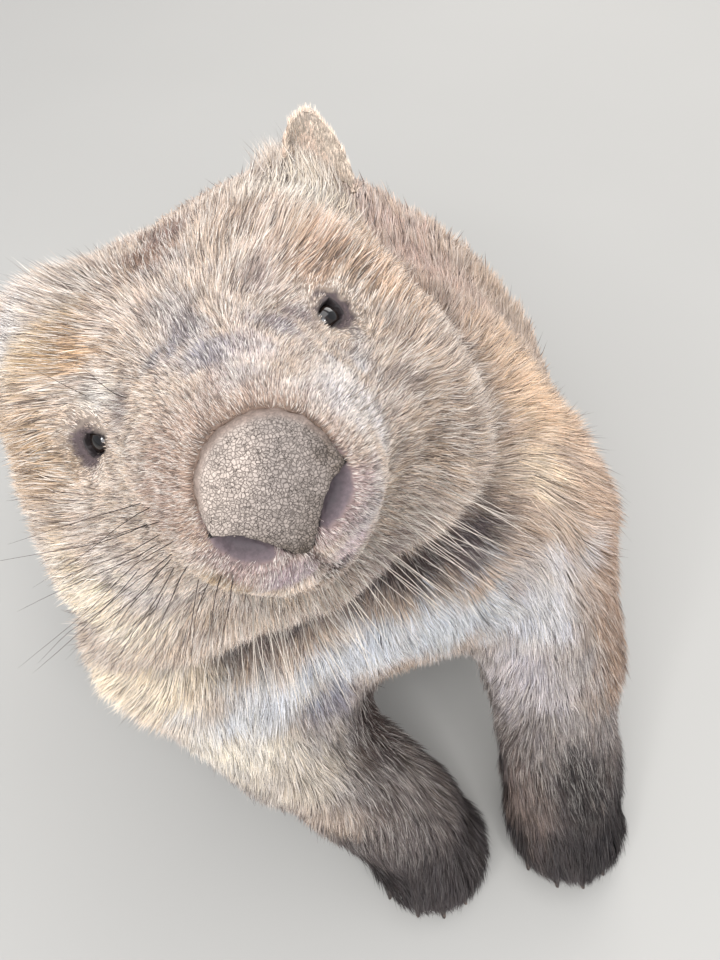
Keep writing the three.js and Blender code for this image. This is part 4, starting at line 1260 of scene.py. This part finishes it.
browWhiskers = [
    ((-40, -5, 15), (-43, -12, 22), (-48, -12, 30), (-54, -10, 36)),
    ((-48, -1, 16), (-56, -9, 21), (-65, -8, 26), (-74, -2, 30)),
    ((-29, -24, 13), (-31, -28, 19), (-33, -28, 25), (-36, -26, 31)),
]
whiskerRows = []
faceCentre = [0, -20, -30]
for knots in cheekWhiskers:
    knots = np.array(knots, float)
    drawn = knots + unit(knots - faceCentre) * [[0], [3], [5], [8]]
    whiskerRows.append((drawn, whiskerSizes["longThick"], whiskerTones["dark"]))
    # those on the other side are shorter and paler
    other = knots * [-1, 1, 1]
    other = other[0] + (other - other[0]) * 0.45 + unit(other - faceCentre) * [[0], [3], [4], [6]]
    whiskerRows.append((other, whiskerSizes["shortThick"], whiskerTones["tan"]))
for knots in browWhiskers:
    knots = np.array(knots, float)
    whiskerRows.append((knots, whiskerSizes["browThick"], whiskerTones["dark"]))
    whiskerRows.append((knots * [-1, 1, 1], whiskerSizes["shortThick"], whiskerTones["tan"]))
for _ in range(whiskerSizes["chinCount"]):
    across = seeded.uniform(-50, 56)
    back = -44 + 0.012 * across**2 + seeded.normal(0, 5)
    root = np.array([across, back, seeded.uniform(-84, -66)])
    way = unit(np.array([across / 60 + seeded.normal(0, 0.16), seeded.uniform(-0.6, -0.2), -1.0]))
    sag = np.array([0.0, seeded.uniform(0.1, 0.5), -0.2])
    long = seeded.uniform(whiskerSizes["chinShortest"], whiskerSizes["chinLongest"])
    steps = np.array([[0.0], [0.33], [0.67], [1.0]]) * long
    drawn = root + way * steps + sag * steps**2 / 60
    whiskerRows.append((drawn, whiskerSizes["longThick"], whiskerTones["pale"]))
whiskers = growWhiskers("whiskers", whiskerRows)
print("whiskers", len(whiskerRows))


# Finishes
class Signal:
    def __init__(self, finish, socket):
        self.finish = finish
        self.socket = socket

    def reckon(self, operation, first, second):
        return self.finish.node("ShaderNodeMath", {"operation": operation}, {0: first, 1: second})

    def __add__(self, other):
        return self.reckon("ADD", self, other)

    def __radd__(self, other):
        return self.reckon("ADD", other, self)

    def __sub__(self, other):
        return self.reckon("SUBTRACT", self, other)

    def __rsub__(self, other):
        return self.reckon("SUBTRACT", other, self)

    def __mul__(self, other):
        return self.reckon("MULTIPLY", self, other)

    def __rmul__(self, other):
        return self.reckon("MULTIPLY", other, self)


class Finish:
    def __init__(self, name):
        self.material = bpy.data.materials.new(name)
        self.material.use_nodes = True
        self.tree = self.material.node_tree
        self.shader = self.tree.nodes["Principled BSDF"]

    def node(self, kind, settings=None, sockets=None, output=0):
        made = self.tree.nodes.new(kind)
        for key, value in (settings or {}).items():
            setattr(made, key, value)
        for key, value in (sockets or {}).items():
            self.feed(made.inputs[key], value)
        return Signal(self, made.outputs[output])

    def feed(self, socket, value):
        if isinstance(value, Signal):
            self.tree.links.new(value.socket, socket)
        elif isinstance(value, (tuple, list, np.ndarray)) and len(value) == 3 and socket.type == "RGBA":
            socket.default_value = (*[float(v) for v in value], 1.0)
        else:
            socket.default_value = value

    def put(self, **sockets):
        for key, value in sockets.items():
            self.feed(self.shader.inputs[key.replace("_", " ")], value)

    def mix(self, first, second, factor):
        return self.node("ShaderNodeMix", {"data_type": "RGBA"}, {0: factor, 6: first, 7: second}, 2)

    def scaled(self, colour, amount):
        settings = {"data_type": "RGBA", "blend_type": "MULTIPLY"}
        return self.node("ShaderNodeMix", settings, {0: 1.0, 6: colour, 7: amount}, 2)

    def place(self):
        return self.node("ShaderNodeTexCoord", output=3)

    def noise(self, scale, detail=3.0, roughness=0.55):
        sockets = {"Vector": self.place(), "Scale": scale, "Detail": detail, "Roughness": roughness}
        return self.node("ShaderNodeTexNoise", None, sockets)

    def span(self, value, low, high, toLow=0.0, toHigh=1.0):
        sockets = {0: value, 1: low, 2: high, 3: toLow, 4: toHigh}
        return self.node("ShaderNodeMapRange", {"interpolation_type": "SMOOTHSTEP"}, sockets)

    def attribute(self, name, output=0):
        return self.node("ShaderNodeAttribute", {"attribute_name": name}, output=output)

    def bump(self, height, strength, distance):
        sockets = {"Height": height, "Strength": strength, "Distance": distance}
        return self.node("ShaderNodeBump", None, sockets)


def strandFinish(name, rough):
    finish = Finish(name)
    own = finish.node("ShaderNodeUVMap", {"uv_map": "strand"})
    parts = finish.node("ShaderNodeSeparateXYZ", None, {0: own})
    luck = Signal(finish, parts.socket)
    along = Signal(finish, parts.socket.node.outputs[1])
    # darker towards the root: partly the hair's own banding, partly painted shade deep in the coat
    shade = finish.span(along, 0.0, 0.8, 0.4, 1.14) * finish.span(luck, 0.0, 1.0, 0.8, 1.17)
    shade = shade * finish.span(finish.noise(900.0, 2.0), 0.3, 0.7, 0.93, 1.07)
    colour = finish.scaled(finish.attribute("coat"), shade)
    finish.put(Base_Color=colour, Roughness=finish.span(luck, 0.0, 1.0, rough - 0.08, rough + 0.08))
    finish.put(Specular_IOR_Level=0.3)
    return finish.material


def skinFinish():
    finish = Finish("bare skin and undercoat")
    bare = finish.attribute("bare", 2)
    fine = finish.noise(700.0, 4.0)
    pores = finish.node("ShaderNodeTexVoronoi", None, {"Vector": finish.place(), "Scale": 1500.0})
    crumbs = finish.node("ShaderNodeTexVoronoi", None, {"Vector": finish.place(), "Scale": 330.0})
    colour = finish.scaled(finish.attribute("coat"), finish.span(fine, 0.3, 0.7, 0.8, 1.14))
    specks = finish.span(crumbs, 0.07, 0.13, 1.0, 0.0) * finish.span(finish.noise(90.0), 0.5, 0.6) * bare
    finish.put(Base_Color=finish.mix(colour, tone(186, 172, 160), specks * 0.7))
    finish.put(Roughness=finish.span(fine, 0.3, 0.7, 0.5, 0.66) + (1 - bare) * 0.2)
    height = fine * 0.5 + pores * 0.5
    finish.put(Normal=finish.bump(height, 0.35, 0.0002), Specular_IOR_Level=0.3)
    return finish.material


# soil is dirt and painted shade, pale is painted light, edge is painted shade under the fur at the upper
# border
padTones = {
    "pale": tone(191, 176, 165),
    "grey": tone(148, 137, 130),
    "soil": tone(104, 92, 82),
    "crack": tone(50, 42, 38),
    "edge": tone(128, 110, 100),
}


def padFinish():
    # uneven plates parted by thin dark cracks above, small granules below; darker at the lower edges with
    # soil and painted shade, paler at the top with painted light, and painted shade along the upper border
    finish = Finish("granular nose leather")
    wear = finish.node("ShaderNodeSeparateXYZ", None, {0: finish.attribute("wear")})
    soil = Signal(finish, wear.socket)
    pale = Signal(finish, wear.socket.node.outputs[1])
    edge = Signal(finish, wear.socket.node.outputs[2])
    place = finish.place()
    bend = finish.node("ShaderNodeTexNoise", None, {"Vector": place, "Scale": 350.0, "Detail": 3.0}, 1)
    sockets = {0: bend, 1: (0.0018, 0.0018, 0.0018), 2: place}
    bent = finish.node("ShaderNodeVectorMath", {"operation": "MULTIPLY_ADD"}, sockets)

    def plates(scale, low, high):
        sockets = {"Vector": bent, "Scale": scale}
        edges = finish.node("ShaderNodeTexVoronoi", {"feature": "DISTANCE_TO_EDGE"}, sockets)
        return finish.span(edges, low, high, 1.0, 0.0)

    broad = plates(560.0, 0.005, 0.07) * finish.span(finish.noise(260.0), 0.4, 0.62, 0.0, 0.5)
    small = plates(900.0, 0.015, 0.15)
    grain = finish.node("ShaderNodeTexVoronoi", {"feature": "F1"}, {"Vector": bent, "Scale": 900.0}, 1)
    parts = finish.node("ShaderNodeSeparateXYZ", None, {0: grain})
    crack = broad + small * (0.6 + soil * 0.25)
    crack = finish.span(crack * (1 - edge * 0.75), 0.0, 1.0)
    # paler top as painted light, soil and painted shade below, painted shade along the upper border
    colour = finish.mix(padTones["grey"], padTones["pale"], pale)
    patchy = finish.span(finish.noise(300.0, 4.0), 0.3, 0.62, 0.45, 1.0)
    colour = finish.mix(colour, padTones["soil"], soil * patchy)
    colour = finish.mix(colour, padTones["edge"], edge * 0.8)
    colour = finish.scaled(colour, finish.span(parts, 0.0, 1.0, 0.84, 1.14))
    colour = finish.scaled(colour, finish.span(finish.noise(1900.0, 2.0), 0.3, 0.7, 0.86, 1.12))
    colour = finish.mix(colour, padTones["crack"], crack * 0.85)
    height = parts * 0.15 - crack
    finish.put(Base_Color=colour, Roughness=finish.span(crack, 0.0, 1.0, 0.58, 0.85))
    finish.put(Normal=finish.bump(height, 0.7, 0.0005), Specular_IOR_Level=0.35)
    return finish.material


def eyeFinish():
    finish = Finish("wet dark eye")
    lean = finish.attribute("iris", 2)
    fibres = finish.noise(1400.0, 3.0)
    iris = finish.mix(tone(22, 15, 13), tone(38, 27, 21), finish.span(fibres, 0.35, 0.65))
    colour = finish.mix(tone(6, 5, 6), iris, finish.span(lean, 0.24, 0.30))
    colour = finish.mix(colour, tone(12, 9, 9), finish.span(lean, 0.50, 0.66))
    finish.put(Base_Color=colour, Roughness=finish.span(fibres, 0.3, 0.7, 0.05, 0.09))
    finish.put(Specular_IOR_Level=0.6, Coat_Weight=0.4)
    return finish.material


def clawFinish():
    finish = Finish("horn claw")
    streaks = finish.noise(500.0, 4.0, 0.5)
    colour = finish.mix(tone(44, 38, 36), tone(112, 98, 88), finish.span(streaks, 0.35, 0.75))
    finish.put(Base_Color=colour, Roughness=finish.span(streaks, 0.3, 0.7, 0.34, 0.5))
    finish.put(Normal=finish.bump(streaks, 0.3, 0.0003))
    return finish.material


def floorFinish():
    finish = Finish("pale floor")
    cloud = finish.noise(3.0, 2.0)
    finish.put(Base_Color=finish.mix(tone(176, 174, 170), tone(182, 180, 176), cloud), Roughness=0.8)
    return finish.material


coatFinish = strandFinish("wombat coat", 0.62)
for piece in coat + [earCoat]:
    piece.data.materials.append(coatFinish)
whiskers.data.materials.append(strandFinish("whisker", 0.4))
skinMaterial = skinFinish()
for piece, nodes, slot in ((skin, fleshNodes, "body_fur"), (ears, ["ear_left", "ear_right"], "ear_fur")):
    piece.data.materials.append(skinMaterial)
    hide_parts(*nodes)
nosePad.data.materials.append(padFinish())
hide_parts("nose_pad")
eyeMaterial = eyeFinish()
for piece, node in ((eyeLeft, "eye_left"), (eyeRight, "eye_right")):
    piece.data.materials.append(eyeMaterial)
    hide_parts(node)
claws.data.materials.append(clawFinish())
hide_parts(*clawNodes)
for piece in [skin, ears, nosePad, eyeLeft, eyeRight, claws, earCoat, whiskers] + coat:
    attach(piece, "root")
print("finishes done")

# Studio: pale floor, soft lights and the camera at the photograph's angle.
studio = {
    "floor": 6.0,
    "look": (0.242, 0.970),
    "pitch": 52.0,
    "lens": 37.5,
    "world": 0.56,
    "sky": (0.93, 0.95, 1.0, 1.0),
    "sensor": 36.0,
    "clip": 0.01,
}
lights = [
    ("frontKey", (-0.55, -1.5, 1.8), (0.0, -0.1, 0.25), 1.9, 52.0, (0.98, 0.99, 1.0)),
    ("eyeLightLeft", (0.34, -1.38, 1.94), (0.0, -0.1, 0.25), 0.26, 5.0, (1.0, 1.0, 1.0)),
    ("eyeLightRight", (-1.28, -1.16, 1.62), (0.0, -0.1, 0.25), 0.26, 5.0, (1.0, 1.0, 1.0)),
    ("overhead", (0.1, 0.1, 2.0), (0.0, 0.0, 0.2), 1.4, 12.0, (0.98, 0.99, 1.0)),
    ("rearGlow", (0.9, 1.3, 1.2), (0.0, 0.05, 0.2), 1.2, 14.0, (1.0, 0.98, 0.95)),
]
bm = bmesh.new()
bmesh.ops.create_grid(bm, x_segments=8, y_segments=8, size=studio["floor"])
floorMesh = bpy.data.meshes.new("floor")
bm.to_mesh(floorMesh)
bm.free()
floor = addPiece("floor", floorMesh)
floor.data.materials.append(floorFinish())
for name, place, aim, size, power, colour in lights:
    data = bpy.data.lights.new(name, "AREA")
    data.shape = "SQUARE"
    data.size = size
    data.energy = power
    data.color = colour
    lamp = bpy.data.objects.new(name, data)
    lamp.location = place
    lamp.rotation_euler = (Vector(aim) - Vector(place)).to_track_quat("-Z", "Y").to_euler()
    bpy.context.scene.collection.objects.link(lamp)
world = bpy.data.worlds.new("studio")
world.use_nodes = True
sky = world.node_tree.nodes["Background"]
sky.inputs[0].default_value = studio["sky"]
sky.inputs[1].default_value = studio["world"]
bpy.context.scene.world = world
bpy.context.scene.view_settings.view_transform = "Standard"

cameraData = bpy.data.cameras.new("camera")
cameraData.sensor_width = studio["sensor"]
cameraData.lens = studio["lens"]
cameraData.clip_start = studio["clip"]
camera = bpy.data.objects.new("camera", cameraData)
camera.location = viewer
pitch = math.radians(studio["pitch"])
lookX, lookY = studio["look"]
lookWay = Vector((lookX * math.cos(pitch), lookY * math.cos(pitch), -math.sin(pitch)))
camera.rotation_euler = lookWay.to_track_quat("-Z", "Y").to_euler()
bpy.context.scene.collection.objects.link(camera)
bpy.context.scene.camera = camera
